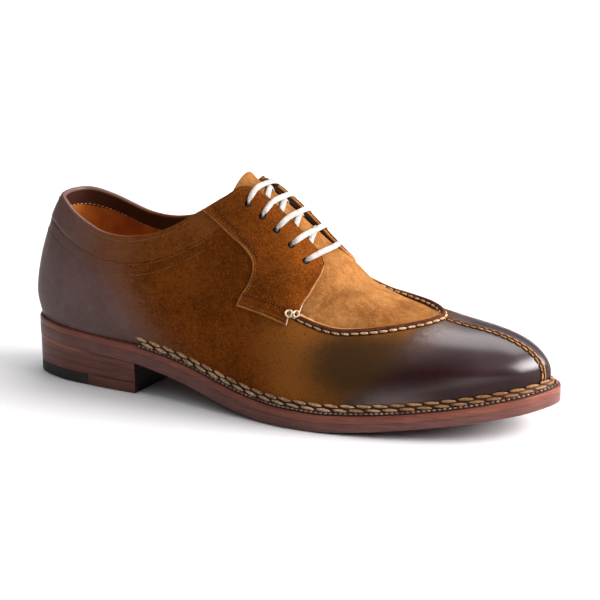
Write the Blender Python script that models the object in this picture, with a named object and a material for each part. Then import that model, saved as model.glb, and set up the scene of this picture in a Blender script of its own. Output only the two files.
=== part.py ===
"""A right derby shoe: split toe, apron seam, open lacing, leather sole with a stacked heel.

Sizes are millimetres in this script and become metres where a mesh is made.
Station is the distance forward from the back of the sole. Lateral is -Y, medial is +Y, the toe is +X.
"""

import math
from collections import namedtuple

import bmesh
import bpy
import numpy as np

MM = 0.001

# Driving sizes of the shoe
LENGTH = 306.0
CLEARANCE = 0.3
WALL = 2.0
FACING_THICKNESS = 1.1
TOE_TIP_SIDE = 3.0
HEEL_BACK_SIDE = -1.0

# Sole: heights of the underside and thickness of the layers
HEEL_BREAST = 77.8
HEEL_HEIGHT_FRONT = 16.9
HEEL_SLOPE = 0.062
BALL_BACK = 172.0
BALL_FRONT = 194.0
TOE_SPRING = 15.6
TOE_SPRING_POWER = 1.3
SHANK_ROUNDNESS = 0.49
MIDSOLE = 3.6
EDGE_ROUND = 0.7
TOP_PIECE = 6.0
HEEL_LIFTS = 3
HEEL_INSET = 0.2
HEEL_TAPER = 0.3
RUBBER_FRONT_LATERAL = 46.0
RUBBER_FRONT_MEDIAL = 30.0
INSOLE = 2.5
INSOLE_PLAY = 0.8

# Upper: where the last's spine turns into the fans of heel and toe, and the opening
HEEL_ANCHOR = 40.0
TOE_ANCHOR = 254.0
ANCHOR_SOFTNESS = 9.0
SECTION_ROOT = 1.85
MEDIAL_TOPLINE_RISE = 1.5
THROAT_TOP = 137.0
THROAT_TURN = 146.0
THROAT_END = 176.0
THROAT_HALF = 9.6
THROAT_SPREAD = 0.05
THROAT_CENTRE = -1.6

# Overlays and lacing
MEDIAL_FACING_RISE = 1.5
FACING_LIFT = 0.75
FACING_LOW_ROW = 3
FACING_SPARE = 8.0
SEAM_HALF_WIDTH = 1.5
SEAM_HEIGHT = 1.5
SEAM_LIFT = 0.5
APRON_BACK = 176.0
APRON_TIP = 242.5
APRON_HALF_LATERAL = 39.2
APRON_HALF_MEDIAL = 34.0
APRON_POWER = 0.58
TOE_SEAM_SIDE = -1.5
BEAD_HEIGHT = 4.4
BEAD_WIDTH = 4.2
EYELETS = 5
EYELET_RADIUS = 2.2
EYELET_FIRST = 138.7
EYELET_LAST = 173.2
EYELET_EDGE = 7.8
EYELET_EDGE_SPREAD = 0.06
LACE_RADIUS = 1.4
LACE_PLAY = 0.2
TONGUE_TOP = 130.0
TONGUE_END = 192.0
TONGUE_HALF_TOP = 21.0
TONGUE_HALF_END = 27.0
TONGUE_SIDE_DROP = 6.0
TONGUE_DEPTH = 1.5
TONGUE_FLARE = 2.2
TONGUE_THICKNESS = 1.8

# Mesh fineness
SOLE_STATIONS = 44
HEEL_STATIONS = 20
UPPER_STATIONS = 62
WALL_ROWS = 9
OUTLINE_STEPS = 28
TONGUE_STATIONS = 12
TONGUE_ROWS = 10
BEAD_STATIONS = 60
SEAM_STATIONS = 44
TUBE_SIDES = 6
LACE_STATIONS = 18
HOLE_SIDES = 8

Plan = namedtuple("Plan", "station lateral medial")
SOLE_PLAN = [
    Plan(5, 18.5, 18.0),
    Plan(24, 30.5, 28.5),
    Plan(50, 35.3, 30.5),
    Plan(80, 37.8, 28.5),
    Plan(110, 40.3, 27.5),
    Plan(145, 48.0, 33.5),
    Plan(180, 54.2, 43.5),
    Plan(215, 51.5, 49.5),
    Plan(250, 43.0, 45.5),
    Plan(280, 31.0, 34.5),
    Plan(298, 16.8, 20.0),
]

Edge = namedtuple("Edge", "station thickness margin")
SOLE_EDGE = [
    Edge(0, 10.0, 1.8),
    Edge(60, 10.0, 1.8),
    Edge(85, 10.1, 3.0),
    Edge(120, 10.4, 4.4),
    Edge(160, 9.6, 5.8),
    Edge(200, 8.6, 6.8),
    Edge(250, 7.8, 7.0),
    Edge(285, 8.2, 6.8),
    Edge(306, 8.6, 6.5),
]

Section = namedtuple("Section", "station spine crest belly_height belly_lateral belly_medial crown_lateral crown_medial")
SECTIONS = [
    Section(40, -2.0, 120.0, 46.0, 2.6, 2.6, 1.55, 1.55),
    Section(72, -1.8, 125.0, 44.0, 2.4, 2.4, 1.27, 1.30),
    Section(110, -0.8, 128.5, 40.0, 2.0, 3.0, 1.30, 1.40),
    Section(137, 0.4, 119.0, 36.0, 1.8, 4.0, 1.40, 1.50),
    Section(157, 0.6, 104.0, 33.0, 1.8, 4.5, 1.40, 1.60),
    Section(181, 0.6, 81.2, 29.5, 2.0, 4.0, 1.42, 1.65),
    Section(200, 0.8, 67.2, 28.0, 2.2, 3.2, 1.48, 1.65),
    Section(215, 1.2, 60.8, 27.0, 2.2, 2.8, 1.80, 1.80),
    Section(232, 1.8, 56.2, 28.0, 1.8, 2.2, 2.10, 2.00),
    Section(254, 2.5, 51.4, 30.0, 1.2, 1.4, 2.30, 2.10),
]

Topline = namedtuple("Topline", "station height")
TOPLINE = [
    Topline(0, 100.0),
    Topline(12, 98.4),
    Topline(29, 93.4),
    Topline(43, 88.4),
    Topline(53, 85.2),
    Topline(62, 84.0),
    Topline(74, 84.4),
    Topline(85, 86.7),
    Topline(97, 91.6),
    Topline(107, 97.6),
    Topline(115, 102.4),
    Topline(123, 107.8),
    Topline(130, 112.0),
    Topline(135, 115.5),
    Topline(142, 122.0),
]

# Side outline of the facing: its back edge from the collar to the tab, and its front edge up to the throat
FacingEdge = namedtuple("FacingEdge", "station height")
FACING_BACK = [
    FacingEdge(112.0, 103.0),
    FacingEdge(117.0, 100.4),
    FacingEdge(133.0, 91.4),
    FacingEdge(144.5, 84.2),
    FacingEdge(148.6, 79.5),
    FacingEdge(149.6, 75.0),
    FacingEdge(148.3, 68.0),
    FacingEdge(145.3, 62.5),
    FacingEdge(143.6, 57.4),
]
FACING_FRONT = [
    FacingEdge(173.6, 51.0),
    FacingEdge(174.0, 58.4),
    FacingEdge(176.8, 60.2),
    FacingEdge(178.9, 64.6),
    FacingEdge(181.0, 71.8),
    FacingEdge(181.2, 77.3),
    FacingEdge(178.8, 82.4),
    FacingEdge(174.5, 88.6),
    FacingEdge(168.0, 100.0),
]


def hermite(values_at, stations, columns):
    """Smooth curve through a table's column, with tangents from the neighbouring rows."""
    x = np.asarray(stations, float)
    y = np.asarray(columns, float)
    at = np.clip(np.asarray(values_at, float), x[0], x[-1])
    step = np.diff(x)
    slope = np.diff(y) / step
    tangent = np.empty_like(y)
    tangent[1:-1] = (slope[:-1] * step[1:] + slope[1:] * step[:-1]) / (step[1:] + step[:-1])
    tangent[0] = slope[0]
    tangent[-1] = slope[-1]
    row = np.clip(np.searchsorted(x, at) - 1, 0, len(step) - 1)
    u = (at - x[row]) / step[row]
    rise = y[row] + step[row] * tangent[row] * u
    bend = 3 * (y[row + 1] - y[row]) - step[row] * (2 * tangent[row] + tangent[row + 1])
    twist = 2 * (y[row] - y[row + 1]) + step[row] * (tangent[row] + tangent[row + 1])
    return rise + bend * u ** 2 + twist * u ** 3


def column(table, name, at):
    return hermite(at, [row.station for row in table], [getattr(row, name) for row in table])


def closed_curve(points, steps):
    """Smooth closed curve through the given corner points."""
    corner = np.asarray(points, float)
    following = np.roll(corner, -1, axis=0)
    before = np.roll(corner, 1, axis=0)
    ahead = np.linalg.norm(following - corner, axis=1)[:, None]
    behind = np.roll(ahead, 1, axis=0)
    tangent = (corner - before) / behind * ahead + (following - corner) / ahead * behind
    tangent /= ahead + behind
    u = np.linspace(0, 1, steps, endpoint=False)[None, :, None]
    start = corner[:, None, :]
    end = following[:, None, :]
    leave = (tangent * ahead)[:, None, :]
    arrive = (np.roll(tangent, -1, axis=0) * ahead)[:, None, :]
    curve = (
        start * (2 * u ** 3 - 3 * u ** 2 + 1)
        + leave * (u ** 3 - 2 * u ** 2 + u)
        + end * (3 * u ** 2 - 2 * u ** 3)
        + arrive * (u ** 3 - u ** 2)
    )
    return curve.reshape(-1, 2)


def sole_outline():
    heel = [(0.0, HEEL_BACK_SIDE)]
    lateral = [(row.station, -row.lateral) for row in SOLE_PLAN]
    toe = [(LENGTH, TOE_TIP_SIDE)]
    medial = [(row.station, row.medial) for row in reversed(SOLE_PLAN)]
    return closed_curve(heel + lateral + toe + medial, OUTLINE_STEPS)


OUTLINE = sole_outline()
MIDDLE = (OUTLINE.max(axis=0) + OUTLINE.min(axis=0)) / 2


def inset_sides(inset):
    """The outline moved inwards, as one lateral and one medial curve that run from heel to toe."""
    along = np.roll(OUTLINE, -1, axis=0) - np.roll(OUTLINE, 1, axis=0)
    outward = np.stack([along[:, 1], -along[:, 0]], axis=1)
    outward /= np.linalg.norm(outward, axis=1)[:, None]
    moved = OUTLINE - outward * np.broadcast_to(inset, len(OUTLINE))[:, None]
    heel = int(np.argmin(moved[:, 0]))
    moved = np.roll(moved, -heel, axis=0)
    toe = int(np.argmax(moved[:, 0]))
    lateral = moved[: toe + 1]
    medial = np.concatenate([moved[:1], moved[:toe - 1:-1]])
    return lateral, medial


def spread(first, last, turn):
    """Stations that lie close together at both ends, for turn from 0 to 1."""
    return first + (last - first) * (1 - np.cos(np.pi * turn)) / 2


def underside(station):
    """Height of the outsole's underside."""
    station = np.asarray(station, float)
    back = np.clip((BALL_BACK - station) / (BALL_BACK - HEEL_BREAST), 0, 1)
    ramp = back ** 2 * (3 - 2 * back)
    arc = 1 - np.cos(back * np.pi / 2)
    shank = HEEL_HEIGHT_FRONT * (ramp * (1 - SHANK_ROUNDNESS) + arc * SHANK_ROUNDNESS)
    seat = np.clip(HEEL_BREAST - station, 0, None) * HEEL_SLOPE
    front = np.clip((station - BALL_FRONT) / (LENGTH - BALL_FRONT), 0, None)
    return shank + seat + TOE_SPRING * front ** TOE_SPRING_POWER


def sole_top(station):
    return underside(station) + column(SOLE_EDGE, "thickness", station)


def outsole_top(station):
    return sole_top(station) - MIDSOLE - CLEARANCE


def insole_top(station):
    return sole_top(station) + CLEARANCE + INSOLE


# The last: one function for the upper and for all that lies on it

FEATHER_LATERAL, FEATHER_MEDIAL = inset_sides(column(SOLE_EDGE, "margin", OUTLINE[:, 0]))
FEATHER_BACK = FEATHER_LATERAL[0, 0]
FEATHER_FRONT = FEATHER_LATERAL[-1, 0]


def anchor(station):
    """Place on the spine that a wall line leans to: it stops short of heel and toe, so lines fan out there."""
    low = ANCHOR_SOFTNESS * np.logaddexp(0, (station - HEEL_ANCHOR) / ANCHOR_SOFTNESS)
    return TOE_ANCHOR - ANCHOR_SOFTNESS * np.logaddexp(0, (TOE_ANCHOR - HEEL_ANCHOR - low) / ANCHOR_SOFTNESS)


def bare_last(turn, climb):
    """A point of the last. Climb runs from -2, the lateral edge, over -1, the belly, to 0, the crest, then medial."""
    turn, climb = np.broadcast_arrays(np.asarray(turn, float), np.asarray(climb, float))
    past = (turn < 0) | (turn > 1)
    turn = np.where(turn < 0, -turn, np.where(turn > 1, 2 - turn, turn))
    climb = np.where(past, -climb, climb)
    lateral = climb <= 0
    station = spread(FEATHER_BACK, FEATHER_FRONT, turn)
    side_lateral = np.interp(station, FEATHER_LATERAL[:, 0], FEATHER_LATERAL[:, 1])
    side_medial = np.interp(station, FEATHER_MEDIAL[:, 0], FEATHER_MEDIAL[:, 1])
    side = np.where(lateral, side_lateral, side_medial)
    spine = anchor(station)
    spine_side = column(SECTIONS, "spine", spine)
    reach_x = station - spine
    reach_y = side - spine_side
    reach = np.hypot(reach_x, reach_y)
    bulge = np.where(lateral, column(SECTIONS, "belly_lateral", spine), column(SECTIONS, "belly_medial", spine))
    crown = np.where(lateral, column(SECTIONS, "crown_lateral", spine), column(SECTIONS, "crown_medial", spine))
    crest = column(SECTIONS, "crest", spine)
    foot = sole_top(station) + CLEARANCE
    belly = np.maximum(column(SECTIONS, "belly_height", spine), foot + 3)
    up = np.clip(2 - np.abs(climb), 0, 2)
    low = np.clip(up, 0, 1)
    angle = np.clip(up - 1, 0, 1) * np.pi / 2
    fullness = 1 + bulge / reach
    rise = np.sin(angle) ** (2 / crown)
    share = np.where(up < 1, 1 + (fullness - 1) * np.sin(low * np.pi / 2), fullness * np.cos(angle) ** (2 / SECTION_ROOT))
    height = np.where(up < 1, foot + (belly - foot) * low, belly + (crest - belly) * rise)
    return np.stack([spine + reach_x * share, spine_side + reach_y * share, height], axis=-1)


def last(turn, climb, offset=0.0):
    """A point of the last moved outwards along its normal."""
    small = 1e-3
    point = bare_last(turn, climb)
    along = bare_last(turn + small, climb) - bare_last(turn - small, climb)
    up = bare_last(turn, climb + small) - bare_last(turn, climb - small)
    normal = np.cross(along, up)
    size = np.linalg.norm(normal, axis=-1, keepdims=True)
    at_pole = size < 1e-12
    normal = np.where(at_pole, [0.0, 0.0, 1.0], normal / np.where(at_pole, 1.0, size))
    return point + normal * np.asarray(offset, float)[..., None]


def turn_at(station):
    """The turn of a given feather station."""
    share = np.clip((np.asarray(station, float) - FEATHER_BACK) / (FEATHER_FRONT - FEATHER_BACK), 0, 1)
    return np.arccos(1 - 2 * share) / np.pi


def climb_where(turn, side, measure, target):
    """Climb on one side, -1 or 1, where a measure that grows towards the crest first reaches its target."""
    climbs = side * np.linspace(2, 0, 801)
    reached = measure(bare_last(np.full_like(climbs, turn), climbs)) >= target
    return climbs[int(np.argmax(reached))] if reached.any() else 0.0


def throat_half(station):
    """Half the gap between the facings."""
    return THROAT_HALF + THROAT_SPREAD * (station - THROAT_TOP)


def throat_share(station):
    """Share of that gap where the wall under the facings is open too: it closes in a round end."""
    closing = np.clip((station - THROAT_TURN) / (THROAT_END - THROAT_TURN), 0, 1)
    return math.sqrt(1 - closing ** 2)


def opening_climb(turn, side, of_facing=False):
    """Climb of the collar or throat edge at a station: the lower of the two."""
    station = float(spread(FEATHER_BACK, FEATHER_FRONT, turn))
    half = throat_half(station) * (1.0 if of_facing else throat_share(station))
    if half == 0:
        return 0.0
    height = float(column(TOPLINE, "height", station)) + (MEDIAL_TOPLINE_RISE if side > 0 else 0.0) * math.sin(
        math.pi / 2 * min(station / HEEL_ANCHOR, 1.0)
    )
    collar = climb_where(turn, side, lambda point: point[:, 2], height)
    if station < HEEL_ANCHOR:
        return collar
    throat = climb_where(turn, side, lambda point: -side * (point[:, 1] - THROAT_CENTRE), -half)
    return side * max(abs(collar), abs(throat))


def upper_columns():
    """Turn of each station of the upper, with the climbs of its rows on the lateral and the medial side."""
    rows = np.linspace(0, 1, WALL_ROWS + 1)
    found = []
    for turn in np.linspace(0, 1, UPPER_STATIONS + 1):
        edge = {side: opening_climb(turn, side) for side in (-1, 1)}
        if 0.0 in edge.values():
            edge = {-1: 0.0, 1: 0.0}
        found.append((turn, {side: side * 2 + (edge[side] - side * 2) * rows for side in (-1, 1)}))
    return found


def find_on_last(axes, targets, turn, climb):
    """Turn and climb of the point whose two given coordinates have the target values."""
    place = np.array([turn, climb], float)
    small = 1e-4
    for _ in range(12):
        here = bare_last(*place)[list(axes)]
        by_turn = (bare_last(place[0] + small, place[1])[list(axes)] - here) / small
        by_climb = (bare_last(place[0], place[1] + small)[list(axes)] - here) / small
        step = np.linalg.solve(np.stack([by_turn, by_climb], axis=1), np.asarray(targets) - here)
        place += np.clip(step, -0.1, 0.1)
    return place


# Meshes


def paint(name, colour, roughness):
    material = bpy.data.materials.new(name)
    material.use_nodes = True
    shader = material.node_tree.nodes["Principled BSDF"]
    shader.inputs["Base Color"].default_value = (*colour, 1.0)
    shader.inputs["Roughness"].default_value = roughness
    shader.inputs["Metallic"].default_value = 0.0
    return material


def split_faces(mesh):
    """Makes every face a triangle, so that each one is flat."""
    shape = bmesh.new()
    shape.from_mesh(mesh)
    bmesh.ops.triangulate(shape, faces=shape.faces[:])
    shape.to_mesh(mesh)
    shape.free()


def add_mesh(name, points, faces, material):
    """An object from points in millimetres, with its origin under the middle of the sole."""
    placed = np.asarray(points, float) - np.array([MIDDLE[0], MIDDLE[1], 0.0])
    mesh = bpy.data.meshes.new(name)
    mesh.from_pydata([tuple(point * MM) for point in placed], [], faces)
    mesh.validate()
    split_faces(mesh)
    mesh.shade_smooth()
    mesh.set_sharp_from_angle(angle=math.radians(40))
    mesh.materials.append(material)
    made = bpy.data.objects.new(name, mesh)
    bpy.context.scene.collection.objects.link(made)
    return made


def as_helper(made):
    made.hide_render = True
    made.display_type = "WIRE"
    return made


def boolean(target, helper, operation):
    modifier = target.modifiers.new(helper.name, "BOOLEAN")
    modifier.operation = operation
    modifier.solver = "EXACT"
    modifier.object = as_helper(helper)


def add_face(faces, corners, flip=False):
    """Keeps a face that still has three corners once equal ones are dropped."""
    kept = list(dict.fromkeys(corners))
    if len(kept) > 2:
        faces.append(tuple(reversed(kept)) if flip else tuple(kept))


def grid_solid(name, low, high, material, flip=False):
    """A sheet with thickness, from two grids of points of the same size."""
    rows, count = low.shape[:2]
    points = np.concatenate([low.reshape(-1, 3), high.reshape(-1, 3)])
    top = rows * count
    faces = []
    for r in range(rows - 1):
        for k in range(count - 1):
            corner = r * count + k
            square = (corner, corner + count, corner + count + 1, corner + 1)
            add_face(faces, square, not flip)
            add_face(faces, [top + n for n in square], flip)
    border = [k for k in range(count)]
    border += [r * count + count - 1 for r in range(1, rows)]
    border += [(rows - 1) * count + k for k in range(count - 2, -1, -1)]
    border += [r * count for r in range(rows - 2, 0, -1)]
    for here, there in zip(border, border[1:] + border[:1]):
        add_face(faces, (here, top + here, top + there, there), flip)
    return add_mesh(name, points, faces, material)


def loft(name, rings, material):
    """A solid from rings of equal size, each joined to the next, with the first and last ring closed by fans."""
    count = len(rings[0])
    points = np.concatenate(rings)
    faces = []
    for ring in range(len(rings) - 1):
        for k in range(count):
            here = ring * count + k
            there = ring * count + (k + 1) % count
            faces.append((here, there, there + count, here + count))
    faces.append(tuple(reversed(range(count))))
    faces.append(tuple(range((len(rings) - 1) * count, len(rings) * count)))
    return add_mesh(name, points, faces, material)


def plate(name, levels, material, last_station=None, stations=SOLE_STATIONS):
    """A plate of the sole: each level is an inset of the outline and a height over the station.

    Its top and bottom are strips across the sole, so they stay straight from side to side.
    """
    turn = np.linspace(0, 1, stations + 1)
    loops = []
    for inset, height in levels:
        lateral, medial = inset_sides(inset)
        if last_station is None:
            station = spread(lateral[0, 0], lateral[-1, 0], turn)
        else:
            station = lateral[0, 0] + (last_station - lateral[0, 0]) * (1 - np.cos(np.pi / 2 * turn))
        left = np.interp(station, lateral[:, 0], lateral[:, 1])
        right = np.interp(station, medial[:, 0], medial[:, 1])
        z = height(station)
        loops.append((np.stack([station, left, z], 1), np.stack([station, right, z], 1)))
    return strip_solid(name, loops, material)


def strip_solid(name, loops, material):
    """A solid from stacked loops, each a lateral and a medial row of points that may meet at their ends."""
    points = []
    index = []
    for left, right in loops:
        start = len(points)
        points.extend(left)
        left_ids = list(range(start, start + len(left)))
        right_ids = []
        for k, point in enumerate(right):
            if np.linalg.norm(point - left[k]) < 1e-6:
                right_ids.append(left_ids[k])
            else:
                right_ids.append(len(points))
                points.append(point)
        index.append((left_ids, right_ids))
    faces = []
    count = len(index[0][0])
    for lower, upper in zip(index, index[1:]):
        for k in range(count - 1):
            add_face(faces, (lower[0][k], lower[0][k + 1], upper[0][k + 1], upper[0][k]))
            add_face(faces, (lower[1][k + 1], lower[1][k], upper[1][k], upper[1][k + 1]))
        add_face(faces, (lower[1][0], lower[0][0], upper[0][0], upper[1][0]))
        add_face(faces, (lower[0][-1], lower[1][-1], upper[1][-1], upper[0][-1]))
    bottom, top = index[0], index[-1]
    for k in range(count - 1):
        add_face(faces, (bottom[0][k], bottom[1][k], bottom[1][k + 1], bottom[0][k + 1]))
        add_face(faces, (top[0][k], top[0][k + 1], top[1][k + 1], top[1][k]))
    return add_mesh(name, points, faces, material)


def rounded_levels(inset, low, high, edge):
    """Levels of a plate whose edge is rounded at top and bottom."""
    return [
        (inset + edge, low),
        (inset, lambda station: low(station) + edge),
        (inset, lambda station: high(station) - edge),
        (inset + edge, high),
    ]


# Sole and heel


def build_sole(materials):
    plate("outsole", rounded_levels(0.0, underside, outsole_top, EDGE_ROUND), materials["sole leather"])
    low = lambda station: outsole_top(station) + CLEARANCE
    plate("midsole", rounded_levels(0.0, low, sole_top, EDGE_ROUND), materials["midsole leather"])


def build_insole(materials):
    margin = column(SOLE_EDGE, "margin", OUTLINE[:, 0]) + WALL + INSOLE_PLAY
    low = lambda station: sole_top(station) + CLEARANCE
    plate("insole", [(margin, low), (margin, insole_top)], materials["insole leather"])


def heel_layer(share):
    """Height of a cut through the heel stack: 0 on the top piece, 1 under the outsole."""
    def height(station):
        top = underside(np.minimum(station, HEEL_BREAST)) - CLEARANCE
        return TOP_PIECE + CLEARANCE + (top - TOP_PIECE - CLEARANCE) * share
    return height


def build_heel(materials):
    for k in range(HEEL_LIFTS):
        low = heel_layer(k / HEEL_LIFTS)
        high = heel_layer((k + 1) / HEEL_LIFTS)
        top = (lambda station: high(station)) if k == HEEL_LIFTS - 1 else (lambda station: high(station) - CLEARANCE)
        inset_low = HEEL_INSET + HEEL_TAPER * (1 - k / HEEL_LIFTS)
        inset_high = HEEL_INSET + HEEL_TAPER * (1 - (k + 1) / HEEL_LIFTS)
        levels = [(inset_low, low), (inset_high, top)]
        plate(f"heel_lift_{k + 1}", levels, materials["heel leather"], HEEL_BREAST, HEEL_STATIONS)
    floor = lambda station: np.zeros_like(station)
    top = lambda station: np.full_like(station, TOP_PIECE)
    inset = HEEL_INSET + HEEL_TAPER
    for name, slot, keep_front in (("top_piece", "heel leather", True), ("heel_rubber", "rubber", False)):
        piece = plate(name, [(inset, floor), (inset, top)], materials[slot], HEEL_BREAST, HEEL_STATIONS)
        cutter = rubber_cutter(name + "_cutter", keep_front, materials[slot])
        boolean(piece, cutter, "INTERSECT")


def rubber_cutter(name, keep_front, material):
    """A block on one side of the slanted joint between the rubber corner and the leather of the top piece."""
    reach = 60.0
    gap = CLEARANCE / 2 if keep_front else -CLEARANCE / 2
    slope = (RUBBER_FRONT_MEDIAL - RUBBER_FRONT_LATERAL) / (2 * SOLE_PLAN[2].lateral)
    middle = (RUBBER_FRONT_MEDIAL + RUBBER_FRONT_LATERAL) / 2 + gap
    near = middle - slope * reach
    far = middle + slope * reach
    end = LENGTH / 2 if keep_front else -reach
    corners = [(near, -reach), (end, -reach), (end, reach), (far, reach)]
    if not keep_front:
        corners.reverse()
    rings = [np.array([(x, y, z) for x, y in corners]) for z in (-reach / 4, reach / 4)]
    return loft(name, rings, material)


# Upper


def build_upper(materials, columns):
    points = []
    index = {}

    def add_column(k, side):
        turn, climbs = columns[k]
        ids = []
        for layer, offset in enumerate((0.0, -WALL)):
            made = last(np.full(WALL_ROWS + 1, turn), climbs[side], np.full(WALL_ROWS + 1, offset))
            shared = side > 0 and k in (0, UPPER_STATIONS)
            layer_ids = []
            for row, point in enumerate(made):
                at_crest = side > 0 and climbs[side][row] == 0
                if shared or at_crest:
                    layer_ids.append(index[(k, -1)][layer][row])
                else:
                    layer_ids.append(len(points))
                    points.append(point)
            ids.append(layer_ids)
        index[(k, side)] = ids

    for k in range(UPPER_STATIONS + 1):
        add_column(k, -1)
        add_column(k, 1)
    faces = []
    for k in range(UPPER_STATIONS):
        for side in (-1, 1):
            here = index[(k, side)]
            there = index[(k + 1, side)]
            for layer in (0, 1):
                for row in range(WALL_ROWS):
                    corners = (here[layer][row], there[layer][row], there[layer][row + 1], here[layer][row + 1])
                    add_face(faces, corners, (side > 0) != (layer == 1))
            add_face(faces, (here[1][0], there[1][0], there[0][0], here[0][0]), side > 0)
            if columns[k][1][-1][-1] != 0:
                add_face(faces, (here[0][-1], there[0][-1], there[1][-1], here[1][-1]), side > 0)
    return add_mesh("upper", points, faces, materials["suede"])


# Facings, their eyelets and the lace


def open_curve(points, steps):
    """Smooth open curve through the given points."""
    corner = np.asarray(points, float)
    length = np.concatenate([[0.0], np.cumsum(np.linalg.norm(np.diff(corner, axis=0), axis=1))])
    at = np.linspace(0, length[-1], steps)
    return np.stack([hermite(at, length, corner[:, axis]) for axis in range(corner.shape[1])], axis=1)


def facing_outline(side):
    """Corners of the side outline, as station and height."""
    back = open_curve(FACING_BACK, 22)
    front = open_curve(FACING_FRONT, 20)
    above = max(row.crest for row in SECTIONS)
    lid = np.array([(FACING_FRONT[-1].station, above), (FACING_BACK[0].station, above)])
    corners = np.concatenate([back, front, lid])
    if side > 0:
        corners[:, 1] += MEDIAL_FACING_RISE
    return corners


def build_facing(name, side, material):
    """An overlay cut from a shell over the quarter by the facing's side outline."""
    first = min(row.station for row in FACING_BACK) - FACING_SPARE
    final = max(row.station for row in FACING_FRONT) + FACING_SPARE
    rows = np.linspace(0, 1, WALL_ROWS + 1)[FACING_LOW_ROW:]
    layers = [[], []]
    for turn in np.linspace(0, 1, UPPER_STATIONS + 1):
        if not first < spread(FEATHER_BACK, FEATHER_FRONT, turn) < final:
            continue
        climbs = side * 2 + (opening_climb(turn, side, of_facing=True) - side * 2) * rows
        for layer, offset in zip(layers, (FACING_LIFT, FACING_LIFT + FACING_THICKNESS)):
            layer.append(last(np.full_like(climbs, turn), climbs, np.full_like(climbs, offset)))
    layers = [np.array(layer) for layer in layers]
    shell = grid_solid(name, layers[0], layers[1], material, flip=side > 0)
    outline = facing_outline(side)
    reach = 80.0
    rings = [np.stack([outline[:, 0], np.full(len(outline), y), outline[:, 1]], axis=1) for y in (reach, -reach)]
    boolean(shell, loft(name + "_outline", rings, material), "INTERSECT")
    return shell


def eyelet_place(k, side):
    """Turn and climb of an eyelet."""
    station = EYELET_FIRST + (EYELET_LAST - EYELET_FIRST) * k / (EYELETS - 1)
    across = throat_half(station) + EYELET_EDGE + EYELET_EDGE_SPREAD * (station - EYELET_FIRST)
    turn = float(turn_at(station))
    climb = climb_where(turn, side, lambda point: -side * (point[:, 1] - THROAT_CENTRE), -across)
    return turn, climb


def on_last(place, offset):
    return last(np.array(place[0]), np.array(place[1]), np.array(offset))


def ring_at(centre, along, radius, sides):
    """Points of a circle round a direction."""
    along = along / np.linalg.norm(along)
    first = np.cross(along, [1.0, 0.0, 0.0])
    first /= np.linalg.norm(first)
    second = np.cross(along, first)
    angle = np.linspace(0, 2 * np.pi, sides, endpoint=False)[:, None]
    return centre + radius * (np.cos(angle) * first + np.sin(angle) * second)


def cut_eyelets(pieces, side, material):
    """Five round holes through the facing and the wall under it."""
    reach = 5.0
    points = []
    faces = []
    for k in range(EYELETS):
        place = eyelet_place(k, side)
        low = on_last(place, -reach)
        high = on_last(place, reach)
        start = len(points)
        for centre in (low, high):
            points.extend(ring_at(centre, high - low, EYELET_RADIUS, HOLE_SIDES))
        for n in range(HOLE_SIDES):
            following = (n + 1) % HOLE_SIDES
            corners = (start + n, start + following, start + HOLE_SIDES + following, start + HOLE_SIDES + n)
            faces.append(corners)
        faces.append(tuple(start + n for n in reversed(range(HOLE_SIDES))))
        faces.append(tuple(start + HOLE_SIDES + n for n in range(HOLE_SIDES)))
    cutter = add_mesh("eyelet_cutter_" + ("lateral" if side < 0 else "medial"), points, faces, material)
    for piece in pieces:
        boolean(piece, cutter, "DIFFERENCE")


def lace_half(k, side):
    """Half of a bar's path: out of the eyelet and over the facing to the edge of the throat."""
    over = FACING_LIFT + FACING_THICKNESS + LACE_PLAY + LACE_RADIUS
    turn, climb = eyelet_place(k, side)
    to_edge = opening_climb(turn, side, of_facing=True) - climb
    path = [on_last((turn, climb), FACING_LIFT + FACING_THICKNESS / 2)]
    for share, lift in ((0.08, 0.8), (0.35, 1.04), (0.7, 1.02), (1.0, 1.0)):
        path.append(on_last((turn, climb + to_edge * share), over * lift))
    return path


def build_lace(materials):
    """Five bars that lie over the facings, each from eyelet to eyelet."""
    for k in range(EYELETS):
        lateral = lace_half(k, -1)
        medial = lace_half(k, 1)
        middle = (lateral[-1] + medial[-1]) / 2
        path = open_curve(lateral + [middle] + medial[::-1], LACE_STATIONS)
        along = np.gradient(path, axis=0)
        rings = [ring_at(centre, way, LACE_RADIUS, TUBE_SIDES) for centre, way in zip(path, along)]
        loft(f"lace_bar_{k + 1}", rings, materials["lace cotton"])


def build_tongue(materials):
    across = np.linspace(-1, 1, TONGUE_ROWS + 1)
    layers = []
    for inner in (True, False):
        grid = []
        for down in np.linspace(0, 1, TONGUE_STATIONS + 1):
            row = []
            for v in across:
                start = TONGUE_TOP - TONGUE_SIDE_DROP * v * v
                station = start + (TONGUE_END - start) * down
                half = TONGUE_HALF_TOP + (TONGUE_HALF_END - TONGUE_HALF_TOP) * down
                side = -1 if v <= 0 else 1
                turn = float(turn_at(station))
                climb = climb_where(turn, side, lambda point: -side * point[:, 1], -abs(v) * half)
                free = max(0.0, 1 - (half * v / THROAT_HALF) ** 2) * max(0.0, 1 - down * 3)
                depth = WALL + CLEARANCE + TONGUE_DEPTH - TONGUE_FLARE * free
                row.append(on_last((turn, climb), -depth - (TONGUE_THICKNESS if inner else 0.0)))
            grid.append(row)
        layers.append(np.array(grid))
    grid_solid("tongue", layers[0], layers[1], materials["apron suede"])


# Raised seams and the welt bead


def apron_side(station, side):
    """Distance of the apron's seam from the middle at a station."""
    share = np.clip((station - APRON_BACK) / (APRON_TIP - APRON_BACK), 0, 1)
    half = APRON_HALF_LATERAL if side < 0 else APRON_HALF_MEDIAL
    return half * (1 - share ** 2) ** APRON_POWER


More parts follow.
